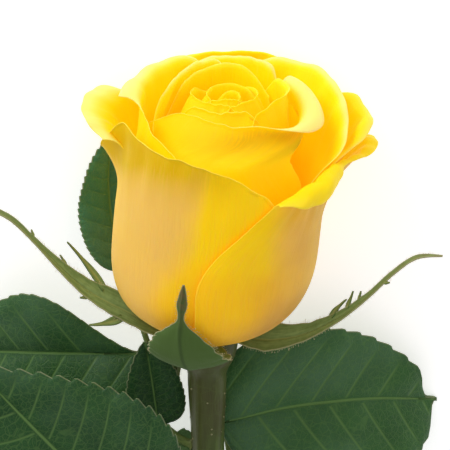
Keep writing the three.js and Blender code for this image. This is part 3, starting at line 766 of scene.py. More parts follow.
@dataclass(frozen=True)
class Cups:
    """The nested cups that the petals follow, counted inwards by layer."""

    radius: float = 19.7
    belly: float = 18.5
    shoulder: float = 30.0
    lean: float = LEAN
    squareness: float = 2.6
    claw: float = 3.3
    pitch: float = 1.0

    def bowl(self, layer: float, angle: Number) -> tuple[Array, Array]:
        """Distance from the bloom's line and height on a layer's bowl.

        Args:
            layer: The cup, counted inwards.
            angle: From the bowl's bottom (0) to its widest place (a quarter turn).

        Returns:
            The distance and the height.
        """
        inset = layer * self.pitch
        power = 2 / self.squareness
        radius = (self.radius - inset) * np.sin(angle) ** power
        depth = self.belly * np.maximum(np.cos(angle), 0.0) ** power + self.shoulder - self.belly
        return radius, self.shoulder - depth * (1 - inset / self.shoulder)

    def claw_angle(self, layer: float) -> float:
        """Angle on the bowl at which a layer's petals start."""
        return math.asin((self.claw / (self.radius - layer * self.pitch)) ** (self.squareness / 2))


@dataclass(frozen=True)
class Push:
    """A soft dent or swelling on a petal: where across and along it, how wide, and how far outwards."""

    across: float
    width: float
    up: float
    length: float
    out: float


@dataclass(frozen=True)
class Petal:
    """One petal, as azimuths of its side edges and heights, reaches and rolls along its margin.

    left and right are azimuths at the claw, the belly and the rim (0 right, 90 back, -90 front). rim is the
    crest's height, crest its distance from the bloom's line at the petal's greatest height, roll the length
    of margin folded past the crest, and curl how far that turns, each at even steps across.
    """

    node: str
    layer: float
    left: Sequence[float]
    right: Sequence[float]
    rim: Sequence[float]
    crest: Sequence[float]
    roll: Sequence[float]
    curl: Sequence[float]
    flare_from: float
    tone: Tone = Tone.OUTER
    ripple: float = 0.3
    ragged: float = 0.12
    seed: int = 1
    pushes: Sequence[Push] = ()
    # Places of painted olive shade under overhanging rims: across, width, height, length and amount.
    olive: Sequence[tuple[float, float, float, float, float]] = ()
    blush: float = 0.0
    slant: float = 0.0
    # Strength of the painted highlight on the margin rolled past the crest.
    rim_highlight: float = 1.0
    # Strength of the painted shade towards the petal's right side, for petals turned from the light.
    dusk: float = 0.0
    snap: float = 0.9
    thickness: float = 0.42
    margin_thickness: float = 0.15
    crowding: float = 0.45
    full_fold: float = math.radians(110)
    rows: tuple[int, int, int] = (20, 28, 14)
    columns: int = 84

    def crowded(self) -> Array:
        """Places across from one side edge (0) to the other (1), closer together near the edges."""
        t = np.linspace(0.0, 1.0, self.columns + 1)
        return t - self.crowding * np.sin(2 * math.pi * t) / (2 * math.pi)

    def profile(self, cups: Cups, t: Array) -> tuple[Array, Array, Array]:
        """Lines from the claw to the margin's end.

        Args:
            cups: The nested cups.
            t: Places across.

        Returns:
            Distance from the bloom's line, height and turn past the crest in radians, rows x places.
        """
        bowl_rows, wall_rows, roll_rows = self.rows
        angle = np.linspace(cups.claw_angle(self.layer), math.pi / 2, bowl_rows)
        bowl_radius, bowl_height = cups.bowl(self.layer, angle)
        reach = max(self.rim) - self.flare_from
        crest, top = along(self.crest, t), along(self.rim, t)
        top = top + self.ragged * 0.7 * waves(self.seed + 40, t * 6, t * 0, 5)
        share = np.linspace(0.0, 1.0, wall_rows + 1)[1:, None]
        height = bowl_height[-1] + (top - bowl_height[-1]) * share
        rise = np.maximum((height - self.flare_from) / reach, 0.0)
        radius = bowl_radius[-1] + (crest - bowl_radius[-1]) * rise ** 2
        slope = 2 * (crest - bowl_radius[-1]) * rise[-1] / reach
        start = np.arctan2(1.0, slope)
        length = np.maximum(along(self.roll, t) + self.ragged * waves(self.seed + 50, t * 8, t * 0, 6), 0.25)
        turn = np.radians(along(self.curl, t))
        share = (np.arange(roll_rows)[:, None] + 0.5) / roll_rows
        heading = start - turn * share ** self.snap
        roll_radius = radius[-1] + np.cumsum(np.cos(heading), axis=0) * length / roll_rows
        roll_height = height[-1] + np.cumsum(np.sin(heading), axis=0) * length / roll_rows
        spread = np.ones((1, len(t)))
        radii = np.concatenate([bowl_radius[:, None] * spread, radius, roll_radius])
        heights = np.concatenate([bowl_height[:, None] * spread, height, roll_height])
        turns = np.concatenate([np.zeros((bowl_rows + wall_rows, len(t))), turn * share])
        return radii, heights, turns

    def shell(self, cups: Cups) -> Shell:
        """Build the petal as a thin blade."""
        t = self.crowded()
        radii, heights, turns = self.profile(cups, t)
        bottom = float(cups.bowl(self.layer, 0.0)[1])
        rise = (heights - bottom) / (max(self.rim) - bottom)
        left, right = along(self.left, rise), along(self.right, rise)
        azimuth = np.radians(left + (right - left) * t)
        steps = np.hypot(np.diff(radii, axis=0), np.diff(heights, axis=0))
        run = np.concatenate([np.zeros((1, len(t))), np.cumsum(steps, axis=0)])
        total = run[-1]
        widest = math.radians(self.right[1] - self.left[1]) * (cups.radius - self.layer * cups.pitch)
        across = (t - 0.5)[None] * widest + 0 * run
        free = np.minimum(total - run, widest * np.minimum(t, 1 - t) * 1.2)
        loose = smooth(22.0, max(self.rim) - 1.0, heights + 60 * (turns > 0))
        ripple = self.ripple * loose * waves(self.seed, across * 0.16, run * 0.07)
        ripple += 0.12 * self.ripple * loose * waves(self.seed + 9, across * 0.55, run * 0.12)
        for push in self.pushes:
            ripple += push.out * bump(t[None], push.across, push.width) * bump(run, push.up, push.length)
        x, y = radii * np.cos(azimuth) + cups.lean * heights, radii * np.sin(azimuth)
        points = np.stack([x, y, heights], axis=-1)
        points += grid_normals(points) * ripple[..., None]
        thickness = self.margin_thickness + (self.thickness - self.margin_thickness) * smooth(0.0, 3.0, free)
        leftward = smooth(8.0, 40.0, heights) * smooth(0.2, -0.3, np.cos(azimuth))
        # Painted shade under overhanging rims, as olive bells across and up the petal.
        olive = 0 * run
        for place, width, height, length, amount in self.olive:
            olive += amount * bump(t[None], place, width) * bump(heights, height, length)
        numbers = {
            "height": heights, "margin": free, "across": across, "run": run, "olive": olive,
            # Painted shade towards the right side of petals turned from the light; darker also towards the foot
            # of every petal.
            "dusk": self.dusk * smooth(0.05, 0.5, t)[None] + 0.75 * (1 - smooth(2.0, 15.0, heights)),
            # Share of the painted rim highlight, from how far the margin has turned past the crest.
            "fold": self.rim_highlight * np.clip(turns / self.full_fold, 0, 1),
            "blush": self.blush * smooth(0.15, 0.85, np.abs(np.cos(azimuth)) + self.slant * leftward),
        }
        return Shell.blade(points, thickness, numbers)


# Per petal, the last entries place painted olive shade under overhanging rims, set how strongly the rolled rims
# carry a painted highlight, and darken petals turned from the light with painted shade.
PETALS = (
    Petal("petal_outer_right_front", 0, [-98, -99, -99.5, -99.7, -91, -73.5, -54], [14, 22, 18],
          [34.2, 35.8, 36.3, 36.7, 36.9, 36.6, 36.2, 36.4, 36.6],
          [20.1, 20.3, 20.4, 20.5, 20.7, 21.9, 25.2, 27.8, 28.0],
          [1.4, 4.6, 5.6, 5.4, 3.8, 2.0, 2.0, 2.8, 3.0], [110, 170, 180, 180, 165, 110, 85, 80, 80], 24,
          snap=0.55, ripple=0.25, seed=11, pushes=(Push(0.1, 0.08, 22, 14, 0.25),),
          olive=((0.25, 0.2, 32, 3.5, 0.6),), blush=0.9, rim_highlight=0.22, dusk=0.75),
    Petal("petal_outer_back", 0, [58, 50, 48], [150, 158, 152],
          [34, 43.6, 46, 46.4, 46, 45, 43.6, 40, 30], [25.4, 25.4, 24.6, 23.6, 22.4],
          [0.8, 4.6, 5.2, 4.6, 0.8], [92, 190, 205, 190, 92], 26, ripple=0.25, seed=12, blush=0.8),
    Petal("petal_outer_left_front", 1, [-186, -192, -192], [-66, -58, -60],
          [35.6, 37.8, 41.4, 44.8, 45.6, 44.3, 43.6, 43.2, 43, 42.9, 42.6, 42, 41, 39.8, 38, 36, 33],
          [33, 34, 24.5, 20.2, 19.2, 19.0, 18.9, 18.9, 18.9, 19, 19.1, 19.2, 19.2, 19.1, 19, 18.9, 18.8],
          [0.6, 1.0, 1.0, 1.0, 0.6], [44, 60, 60, 60, 44], 30,
          ripple=0.25, seed=13, pushes=(Push(0.27, 0.03, 48, 12, 0.4), Push(0.12, 0.16, 28, 22, 0.9)),
          olive=((0.17, 0.12, 42, 7, 1.8), (0.45, 0.4, 43.2, 5.6, 1.7)), blush=0.9, slant=0.42, rim_highlight=0.6),
    Petal("petal_outer_right_back", 1, [-30, -32, -30], [66, 84, 84],
          [31, 35.8, 40, 41.4, 41.8, 41.2, 40.6, 39.6, 33], [18.6, 25.6, 26.2, 23.4, 20.6],
          [0.4, 2.0, 2.4, 1.2, 0.6], [38, 80, 70, 51, 38], 25, ripple=0.5, ragged=0.5, seed=14,
          blush=0.7, rim_highlight=0.6, dusk=0.4),
    Petal("petal_outer_left", 2, [128, 118, 120], [224, 222, 194],
          [32, 38.5, 40.6, 41.8, 42.2, 42.2, 41.9, 41.3, 40.4],
          [18, 18.6, 19.4, 20.4, 21, 21.4, 21.5, 21.3, 20.6],
          [0.6, 1.2, 2.4, 6.4, 7.6, 7.6, 7.2, 6.4, 4.8], [40, 100, 90, 60, 46, 38, 38, 46, 60], 34,
          ripple=0.35, seed=15, blush=0.3, rim_highlight=2.0),
    Petal("petal_second_left", 3, [108, 94, 92], [228, 238, 238],
          [42, 46.4, 46.8, 46.6, 46.4, 46.3, 45.6, 43.8, 41.5],
          [19.8, 19.4, 18.7, 17.4, 16.6, 16, 15.9, 15.8, 15.7],
          [2, 4.6, 5.8, 6, 6.1, 6.1, 6.2, 6.2, 6.2, 5.6, 1.4, 0.5, 0.5, 0.5, 0.5, 0.5, 0.5],
          [80, 120, 140, 145, 150, 150, 150, 150, 150, 145, 70, 40, 40, 40, 40, 40, 40], 34,
          Tone.INNER, 0.3, seed=16),
    Petal("petal_second_right", 3, [-24, -31, -30], [74, 86, 90],
          [30, 38.2, 41.8, 44, 45.2, 45.9, 46, 45.4, 40], [17.6, 25.4, 23.6, 22.4, 22.4, 22.8, 22.2, 21.4, 19],
          [0.6, 1.8, 2.2, 2.2, 0.6], [28, 56, 66, 66, 28], 22, Tone.INNER, 0.35, seed=17, rim_highlight=1.3),
    Petal("petal_second_front", 4, [-146, -160, -182],
          [-45, -40, -36, -32, -28, -25, -22, -20, -19, -17, -16, -19, -26, -33, -32, 30, 44],
          [43, 45.6, 46, 46, 45.8, 45.6, 45.4, 45.1, 44.7, 44.2, 43.5, 43, 43, 43.4, 44.2, 45.2, 46],
          [14, 10, 8.2, 7.4, 6.9, 6.6, 6.5, 6.6, 6.9, 7.5, 9.2, 11.4, 12.4, 13, 13.4, 13.8, 14],
          [0.5, 0.6, 0.7, 0.8, 1.2, 3.6, 6.2, 6.6, 4.4], [45, 50, 50, 60, 80, 130, 175, 180, 150], 30,
          Tone.INNER, 0.1, seed=18, olive=((0.6, 0.27, 43.6, 1.9, 1.4),)),
    Petal("petal_inner_back", 4, [46, 40, 52], [112, 122, 124],
          [42, 46.6, 47.6, 47.9, 47.9, 47.8, 47.4, 46, 40], [16.8, 17.4, 17.6, 17.4, 16.8],
          [0.6, 2.2, 2.6, 2.2, 0.6], [50, 120, 130, 110, 38], 32, Tone.INNER, 0.25, seed=19),
    Petal("petal_inner_left", 5, [96, 84, 86], [198, 206, 184],
          [44, 48.2, 48.6, 48.6, 48.6, 48.4, 48, 46.6, 42], [16, 14.6, 12.4, 11.6, 13],
          [1.2, 1.4, 1.4, 1.2, 0.6], [80, 90, 90, 80, 38], 30, Tone.INNER, 0.2, seed=20, rim_highlight=0.7),
    Petal("petal_inner_right", 5, [-46, -58, -58], [52, 64, 64],
          [42, 45.6, 47, 47.8, 48, 48, 47.8, 47, 42], [3.8, 7.4, 11, 12.2, 13.4],
          [0.6, 0.9, 1.0, 0.9, 0.6], [60, 80, 80, 80, 60], 24, Tone.INNER, 0.2, seed=21, rim_highlight=0.4,
          pushes=(Push(0.42, 0.3, 36, 14, -1.7),)),
    Petal("petal_inner_front", 6, [-164, -172, -194], [-34, -22, -22],
          [40, 46, 46.8, 46.8, 46.8, 46.8, 46.6, 46, 40], [7.2, 6.2, 5.2, 5.0, 6.4],
          [0.6, 0.9, 0.9, 0.9, 0.6], [60, 80, 80, 80, 60], 28, Tone.INNER, 0.18, seed=22, rim_highlight=0.5),
    Petal("petal_inner_far", 6, [24, 30, 52], [150, 158, 158],
          [44, 47, 48.6, 49.1, 49, 48.8, 48.4, 47, 40], [10.8, 12.4, 11.8, 10.6, 10.2],
          [0.6, 0.9, 1.0, 0.9, 0.6], [60, 80, 80, 80, 60], 28, Tone.INNER, 0.18, seed=23, rim_highlight=0.5),
)


@dataclass
class Bloom:
    """The whole flower head: named petals, the rolled heart and the furled bud in its middle."""

    cups: Cups = Cups()
    petals: Sequence[Petal] = PETALS
    heart_count: int = 5
    heart_layer: int = 7
    heart_azimuth: float = 205.0
    heart_turn: float = 137.5
    heart_foot_half_width: float = 70.0
    heart_half_width: float = 96.0
    heart_crest: float = 6.2
    heart_crest_step: float = 1.12
    heart_wide_back: float = 0.45
    heart_height: float = 47.9
    heart_rise: float = 0.1
    heart_drops: Sequence[float] = (3.4, 1.0, 0.3, 0, 0, 0, 0.1, 0.5, 2)
    bud_height: float = 47.5
    bud_tip: float = 0.9
    bud_flare_from: float = 24.0
    bud_folds: int = 3
    bud_twist: float = 0.35
    bud_ridge: float = 0.07
    bud_sides: int = 48
    finishes: dict[Tone, PetalFinish] = field(default_factory=lambda: {
        Tone.OUTER: PetalFinish("petal_outer_skin"),
        # Inner petals: a stronger painted glow, olive painted shade under rims and a fainter painted edge
        # highlight.
        Tone.INNER: PetalFinish(
            "petal_inner_skin", back=(1.0, 0.60, 0.001), back_low=(1.0, 0.52, 0.0), tan=(1.0, 0.66, 0.02),
            blush=(1.0, 0.54, 0.004), olive=(0.64, 0.41, 0.001), glow=0.45, light=0.2, rim=0.05),
    })

    def heart_petal(self, index: int) -> Petal:
        """One petal of the heart, a turn of the golden angle further in than the one before."""
        middle = self.heart_azimuth + self.heart_turn * index
        crest = self.heart_crest - self.heart_crest_step * index
        height = self.heart_height + self.heart_rise * index
        halves = (self.heart_foot_half_width, self.heart_half_width, self.heart_half_width)
        count = len(self.heart_drops)
        turns = np.radians(np.linspace(middle - halves[-1], middle + halves[-1], count))
        crests = crest * (1 + self.heart_wide_back * np.sin(turns)) + np.linspace(0.5, -0.5, count)
        return Petal(
            f"petal_heart_{index + 1}", self.heart_layer + index,
            [middle - half for half in halves], [middle + half for half in halves],
            [height - drop for drop in self.heart_drops], crests.tolist(), [0.7] * 5, [70] * 5, 26,
            Tone.INNER, 0.15, 0.06, seed=30 + index, rim_highlight=0.3, thickness=0.36, rows=(12, 26, 6), columns=72)

    def bud_shell(self) -> Shell:
        """The innermost furled petals, a slim cone with a spiral seam."""
        layer = self.heart_layer + self.heart_count
        angle = np.linspace(self.cups.claw_angle(layer), math.pi / 2, 12)
        bowl_radius, bowl_height = self.cups.bowl(layer, angle)
        height = np.linspace(float(bowl_height[-1]), self.bud_height, 29)[1:]
        rise = np.maximum((height - self.bud_flare_from) / (self.bud_height - self.bud_flare_from), 0.0) ** 2
        radius = bowl_radius[-1] + (self.bud_tip - bowl_radius[-1]) * rise
        radii = np.concatenate([bowl_radius, radius])
        heights = np.concatenate([bowl_height, height])
        centres = np.stack([self.cups.lean * heights, 0 * heights, heights], axis=-1)
        angle = np.linspace(0, 2 * math.pi, self.bud_sides, endpoint=False)
        seam = self.bud_folds * angle[None] + self.bud_twist * heights[:, None]
        ring = radii[:, None] * (1 + self.bud_ridge * np.sin(seam) * smooth(30, 44, heights)[:, None])
        numbers = {"height": heights, "run": heights, "margin": 9 + 0 * heights}
        return Shell.tube(centres, ring, self.bud_sides, numbers)

    def build(self) -> None:
        """Build every petal and the bud, and hide the solid each stands for."""
        skins = {tone: finish.material() for tone, finish in self.finishes.items()}
        hearts = [self.heart_petal(index) for index in range(self.heart_count)]
        for petal in [*self.petals, *hearts]:
            piece = make_piece(f"{petal.node}_skin", [petal.shell(self.cups)], [skins[petal.tone]])
            fit_piece(piece, petal.tone.value, petal.node)
        bud = make_piece("heart_bud_skin", [self.bud_shell()], [skins[Tone.INNER]])
        fit_piece(bud, Tone.INNER.value, "heart_bud")


# Stem

@dataclass(frozen=True)
class Prickle:
    """Place and length of one prickle on the stem."""

    height: float
    azimuth: float
    length: float


@dataclass
class Stem:
    """Stem, neck and hip in one bark, with hooked prickles and small cork spots."""

    length: float = LYING.stem_length
    radius: float = LYING.stem_radius
    neck_radius: float = 3.8
    neck_length: float = 16.0
    hip_bottom: float = -10.7
    bends: Sequence[tuple[float, float]] = (
        (0, 0), (0.3, 0.2), (0.9, 0.1), (0.4, -0.4), (-0.9, -0.5), (-1.2, 0.1), (0, 0))
    hip_heights: Sequence[float] = (-10.7, -9, -6.6, -3.8, -2, -1.6)
    hip_radii: Sequence[float] = (3.8, 4.3, 5.5, 6.0, 5.7, 5.4)
    receptacle: Sequence[tuple[float, float]] = ((-1.4, 2.95), (0, 2.95), (7.2, 2.8), (12, 2.06))
    sides: int = 56
    prickles: Sequence[Prickle] = (
        Prickle(-38, -60, 4.2), Prickle(-55, 150, 4.6), Prickle(-78, -110, 5), Prickle(-92, 20, 5),
        Prickle(-126, 170, 5.4), Prickle(-140, -40, 5.4), Prickle(-166, 200, 5.6),
        Prickle(-182, -80, 5.6), Prickle(-205, 10, 5.6))
    prickle_steps: int = 7
    prickle_sides: int = 12
    cork_count: int = 260
    cork_size: tuple[float, float] = (0.1, 0.24)
    bark: StemFinish = StemFinish("bark")
    thorn: SpeckFinish = SpeckFinish("thorn", (0.16, 0.12, 0.03), (0.26, 0.07, 0.03))
    cork: SpeckFinish = SpeckFinish("cork", (0.16, 0.18, 0.06), (0.30, 0.27, 0.14), 0.6)

    def middle(self, height: Number) -> Array:
        """Middle of the stem at a height."""
        t = (self.hip_bottom - np.asarray(height, dtype=float)) / (self.hip_bottom + self.length)
        x = along([bend[0] for bend in self.bends], t)
        y = along([bend[1] for bend in self.bends], t)
        return np.stack([x, y, np.asarray(height, dtype=float) + 0 * x], axis=-1)

    def radius_at(self, height: Number) -> Array:
        """Radius of the stem at a height."""
        t = np.clip((self.hip_bottom - np.asarray(height, dtype=float)) / self.neck_length, 0, 1)
        return self.neck_radius + (self.radius - self.neck_radius) * smooth(0, 1, t)

    def shells(self) -> list[Shell]:
        """Bark from the cut end to the hip's top, and the receptacle inside the bloom."""
        low = np.linspace(-self.length, self.hip_bottom, 150)
        t = np.linspace(0, 1, 34)[1:]
        top = np.interp(t, np.linspace(0, 1, len(self.hip_heights)), self.hip_heights)
        hip = along(self.hip_radii, t)
        heights = np.concatenate([low, top])
        radii = np.concatenate([self.radius_at(low), hip])
        centres = np.concatenate([self.middle(low), np.stack([0 * top, 0 * top, top], axis=-1)])
        angle = np.linspace(0, 2 * math.pi, self.sides, endpoint=False)[None]
        ribs = 0.05 * np.sin(5 * angle + heights[:, None] * 0.02)
        ribs = ribs + 0.04 * waves(5, angle * 1.1, heights[:, None] * 0.05)
        ring = radii[:, None] + ribs - 0.12 * smooth(-self.length + 1.2, -self.length, heights)[:, None]
        run = self.hip_bottom - heights + 12
        bark = Shell.tube(centres, ring, self.sides, {"run": run})
        core = vec(self.receptacle)
        line = np.stack([LEAN * core[:, 0], 0 * core[:, 0], core[:, 0]], axis=-1)
        return [bark, Shell.tube(line, core[:, 1], 20, {"run": 0 * core[:, 0]})]

    def prickle_shape(self) -> bpy.types.Object:
        """One prickle of unit length: a flat oval foot drawn into a hooked point along X, hooked to -Z."""
        rings = []
        for s in np.linspace(0, 1, self.prickle_steps):
            foot = (1 - s) ** 1.7
            rings.append((s * 1.12 - 0.12, s, 0.17 * foot, 0.42 * foot, -0.5 * s ** 1.7))
        shape = ringed_shape("prickle", rings, self.prickle_sides, False)
        shape.data.shade_smooth()
        return shape

    def site(self, height: float, azimuth: float, sunk: float, size: float) -> Site:
        """Place on the bark for a small outgrowth.

        Args:
            height: Height on the stem.
            azimuth: The way it points, in degrees.
            sunk: How deep its foot stands in the bark.
            size: Its length.

        Returns:
            Foot, turn and size, in the part's frame and metres.
        """
        out = ray(azimuth)
        foot = self.middle(height) + out * (self.radius_at(height) - sunk)
        return Vector(LYING.place(foot)), aim(out, vec((0, 0, 1))), size * MM

    def prickle_sites(self) -> list[Site]:
        """Places of the prickles."""
        return [self.site(prickle.height, prickle.azimuth, 0.1, prickle.length) for prickle in self.prickles]

    def cork_sites(self) -> list[Site]:
        """Places of small cork spots strewn on the bark."""
        rng = np.random.default_rng(71)
        sites = []
        for _ in range(self.cork_count):
            height, azimuth = rng.uniform(-self.length + 3, self.hip_bottom - 2), rng.uniform(0, 360)
            sites.append(self.site(height, azimuth, 0.02, rng.uniform(*self.cork_size)))
        return sites

    def build(self) -> None:
        """Build the bark, the prickles and the cork spots, and hide the stem's solid."""
        fit_piece(make_piece("stem_bark", self.shells(), [self.bark.material()]), "stem", "stem")
        thorns = Sower("stem_prickles").sow(self.prickle_sites(), self.prickle_shape(), self.thorn.material())
        fit_piece(thorns, "stem", "stem")
        spots = Sower("stem_cork", spread=0.3, seed=3)
        spots = spots.sow(self.cork_sites(), hair_shape("cork_spot", 0.9, 1.1), self.cork.material())
        fit_piece(spots, "stem")


# Small outgrowths

@dataclass
class Sower:
    """Sets copies of one small shape on marked points, each with its own turn and size."""

    name: str
    spread: float = 0.0
    seed: int = 1

    def tree(self) -> bpy.types.NodeTree:
        """Build the node tree, with inputs for the shape, its finish and how much the sizes vary."""
        tree = bpy.data.node_groups.new(f"{self.name}_tree", "GeometryNodeTree")
        for name, kind in (("Sites", "Geometry"), ("Shape", "Object"), ("Finish", "Material"),
                           ("Size Spread", "Float"), ("Seed", "Int")):
            tree.interface.new_socket(name, in_out="INPUT", socket_type=f"NodeSocket{kind}")
        tree.interface.new_socket("Growth", in_out="OUTPUT", socket_type="NodeSocketGeometry")
        source, sink, shape, turn, size, vary = (tree.nodes.new(kind) for kind in (
            "NodeGroupInput", "NodeGroupOutput", "GeometryNodeObjectInfo", "GeometryNodeInputNamedAttribute",
            "GeometryNodeInputNamedAttribute", "FunctionNodeRandomValue"))
        less, grow, copies, real, finish = (tree.nodes.new(kind) for kind in (
            "ShaderNodeMath", "ShaderNodeMath", "GeometryNodeInstanceOnPoints", "GeometryNodeRealizeInstances",
            "GeometryNodeSetMaterial"))
        turn.data_type, size.data_type, vary.data_type = "FLOAT_VECTOR", "FLOAT", "FLOAT"
        less.operation, grow.operation = "SUBTRACT", "MULTIPLY"
        turn.inputs["Name"].default_value, size.inputs["Name"].default_value = "turn", "size"
        less.inputs[0].default_value = vary.inputs[3].default_value = 1.0
        for start, output, end, entry in (
            (source, "Shape", shape, "Object"), (source, "Size Spread", less, 1),
            (source, "Seed", vary, "Seed"), (less, 0, vary, 2),
            (size, "Attribute", grow, 0), (vary, 1, grow, 1),
            (source, "Sites", copies, "Points"), (shape, "Geometry", copies, "Instance"),
            (turn, "Attribute", copies, "Rotation"), (grow, 0, copies, "Scale"),
            (copies, "Instances", real, "Geometry"), (real, "Geometry", finish, "Geometry"),
            (source, "Finish", finish, "Material"), (finish, "Geometry", sink, "Growth"),
        ):
            tree.links.new(start.outputs[output], end.inputs[entry])
        return tree

    def sow(self, sites: Sequence[Site], shape: bpy.types.Object,
            material: bpy.types.Material) -> bpy.types.Object:
        """Grow the shape on every site.

        Args:
            sites: Foot, turn and size of each copy, in the part's frame and metres.
            shape: The small shape, of unit size.
            material: Its finish.

        Returns:
            One plain mesh object of all the copies.
        """
        mesh = bpy.data.meshes.new(f"{self.name}_sites")
        mesh.from_pydata([tuple(foot) for foot, _, _ in sites], [], [])
        turns = [component for _, turn, _ in sites for component in turn.to_euler()]
        mesh.attributes.new("turn", "FLOAT_VECTOR", "POINT").data.foreach_set("vector", turns)
        mesh.attributes.new("size", "FLOAT", "POINT").data.foreach_set("value", [size for _, _, size in sites])
        growth = stand(self.name, mesh)
        bpy.context.scene.collection.objects.link(shape)
        modifier = growth.modifiers.new("sow", "NODES")
        modifier.node_group = self.tree()
        values = {"Shape": shape, "Finish": material, "Size Spread": self.spread, "Seed": self.seed}
        for item in modifier.node_group.interface.items_tree:
            if item.name in values:
                modifier[item.identifier] = values[item.name]
        depsgraph = bpy.context.evaluated_depsgraph_get()
        grown = bpy.data.meshes.new_from_object(growth.evaluated_get(depsgraph))
        growth.modifiers.clear()
        growth.data = grown
        grown.name = self.name
        grown.shade_smooth()
        bpy.data.objects.remove(shape)
        return growth


def ringed_shape(name: str, rings: Sequence[Sequence[float]], sides: int,
                 capped: bool = True) -> bpy.types.Object:
    """A small shape of rings round X.

    Args:
        name: The shape's name.
        rings: Place along X, share of the reach, half width, half height and rise of each ring.
        sides: Sides of the rings.
        capped: Whether the last ring is closed by a face, as it must be where it isn't a point.

    Returns:
        The shape, not linked to the scene.
    """
    points, numbers = [], []
    for x, reach, wide, high, rise in rings:
        for k in range(sides):
            angle = 2 * math.pi * k / sides
            points.append((x, wide * math.cos(angle), rise + high * math.sin(angle)))
            numbers.append(reach)
    faces = []
    for i in range(len(rings) - 1):
        here, above = i * sides, (i + 1) * sides
        for k in range(sides):
            after = (k + 1) % sides
            faces.append([here + k, here + after, above + after, above + k])
    faces.append(list(range(sides))[::-1])
    if capped:
        faces.append(list(range((len(rings) - 1) * sides, len(rings) * sides)))
    mesh = bpy.data.meshes.new(name)
    mesh.from_pydata(points, [], faces)
    mesh.attributes.new("reach", "FLOAT", "POINT").data.foreach_set("value", numbers)
    return bpy.data.objects.new(name, mesh)


def hair_shape(name: str, head: float, waist: float, sides: int = 5) -> bpy.types.Object:
    """A hair of unit length along X, with a round head and a stalk of the given radii."""
    radii = ((-0.05, waist * 1.6), (0.35, waist), (0.8, waist * 0.8), (0.86, head * 0.8), (0.94, head),
             (1.02, head * 0.55))
    return ringed_shape(name, [(reach, reach, radius, radius, 0.0) for reach, radius in radii], sides)


def aim(out: Array, near: Array) -> Matrix:
    """Turn that points X along out and keeps Z as near as it can to another direction, in the part's frame."""
    x = unit(out)
    y = unit(np.cross(near, x))
    axes = np.stack([x, y, np.cross(x, y)])
    return Matrix(LYING.turn(axes).tolist()).transposed()


# Leaves

@dataclass(frozen=True)
class Leaflet:
    """One serrated leaflet from base to tip; facing is the way its upper face looks."""

    base: Sequence[float]
    tip: Sequence[float]
    facing: Sequence[float]
    width: float
    arch: float
    teeth: int
    start: Optional[Sequence[float]] = None
    sway: float = 0.0
    fold: tuple[float, float] = (0.16, 0.16)
    wave: float = 0.6
    # How much painted sheen the leaflet's upper face carries.
    gloss: float = 0.0
    # Lighter above 0 and darker below; on a shaded leaflet a low tone is partly painted shade.
    tone: float = 0.0
    veins: int = 8
    bite: float = 0.5
    shape: tuple[float, float] = (0.5, 0.75)
    right_shape: Optional[tuple[float, float]] = None
    tail: float = 0.0
    tooth_back: float = 0.78
    seed: int = 1
    tooth_rows: int = 6
    columns: int = 33

    def half_width(self, t: Array, shape: tuple[float, float]) -> Array:
        """Half width at t along the leaflet, for a half that swells as the shape's two powers say."""
        a, b = shape
        peak = (a / (a + b)) ** a * (b / (a + b)) ** b
        full = self.width * t ** a * (1 - t) ** b / peak
        tail = self.tail * (0.4 if shape is self.right_shape else 1.0)
        drawn_out = 1 - 0.9 * smooth(0.999 - 1.9 * tail, 1 - 0.8 * tail, t)
        return np.maximum(full * drawn_out, 0.22)

    def grid(self) -> tuple[Array, dict[str, Array]]:
        """Middle points of the blade, right half first, and the numbers that its material reads."""
        base = vec(self.base)
        axis = vec(self.tip) - base
        length = float(np.linalg.norm(axis))
        ahead = axis / length
        side = unit(np.cross(ahead, vec(self.facing)))
        up = np.cross(side, ahead)
        t = np.linspace(0, 1, self.teeth * self.tooth_rows + 1)[:, None]
        u = np.linspace(-1, 1, self.columns)[None, ::-1]
        u = u * (1.22 - 0.22 * u * u)
        right, left = self.half_width(t, self.right_shape or self.shape), self.half_width(t, self.shape)
        half = np.where(u > 0, right, left)
        f = (t * self.teeth) % 1.0
        saw = np.where(f < self.tooth_back, f / self.tooth_back, (1 - f) / (1 - self.tooth_back)) - 0.5
        rim = smooth(0.72, 1.0, np.abs(u))
        tooth = saw * rim * smooth(0.03, 0.12, t) * self.bite
        wide = u * half + np.sign(u) * tooth
        run = t * length + 0.8 * tooth
        rib = np.abs(wide)
        margin = (1 - np.abs(u)) * half
        spacing = length * 0.92 / self.veins
        phase = (t * length - 0.52 * rib - 0.012 * rib ** 2) / spacing + 0.5 * (u > 0)
        between = np.abs(np.sin(math.pi * phase + math.pi / 2)) ** 0.7
        between = between * smooth(0.3, 2.0, rib) * smooth(0.0, 2.5, margin)
        share = np.abs(wide) / np.maximum(half, 1e-6)
        fold = np.where(u < 0, self.fold[0], self.fold[1])
        rise = self.arch * np.sin(math.pi * t) + fold * half * share * (2 - share)
        rise = rise + 0.3 * between + self.wave * waves(self.seed, run * 0.035, wide * 0.05)
        rise = rise + self.wave * 0.7 * rim * waves(self.seed + 5, run * 0.09, u * 0.4)
        rise = rise - 0.35 * bump(wide, 0.0, 0.55) * smooth(0.0, 0.1, 1 - t)
        shift = wide + self.sway * np.sin(math.pi * t)
        points = base + run[..., None] * ahead + shift[..., None] * side + rise[..., None] * up
        numbers = {"wide": wide, "run": run, "rib": rib, "vein": phase, "margin": margin,
                   "gloss": self.gloss, "tone": self.tone}
        return points, numbers

    def shell(self) -> Shell:
        """Build the leaflet as a thin blade with a raised rib beneath."""
        points, numbers = self.grid()
        thickness = 0.18 + 0.2 * smooth(0.0, 1.2, numbers["margin"]) + 0.55 * bump(numbers["rib"], 0.0, 0.5)
        return Shell.blade(points, thickness, numbers)


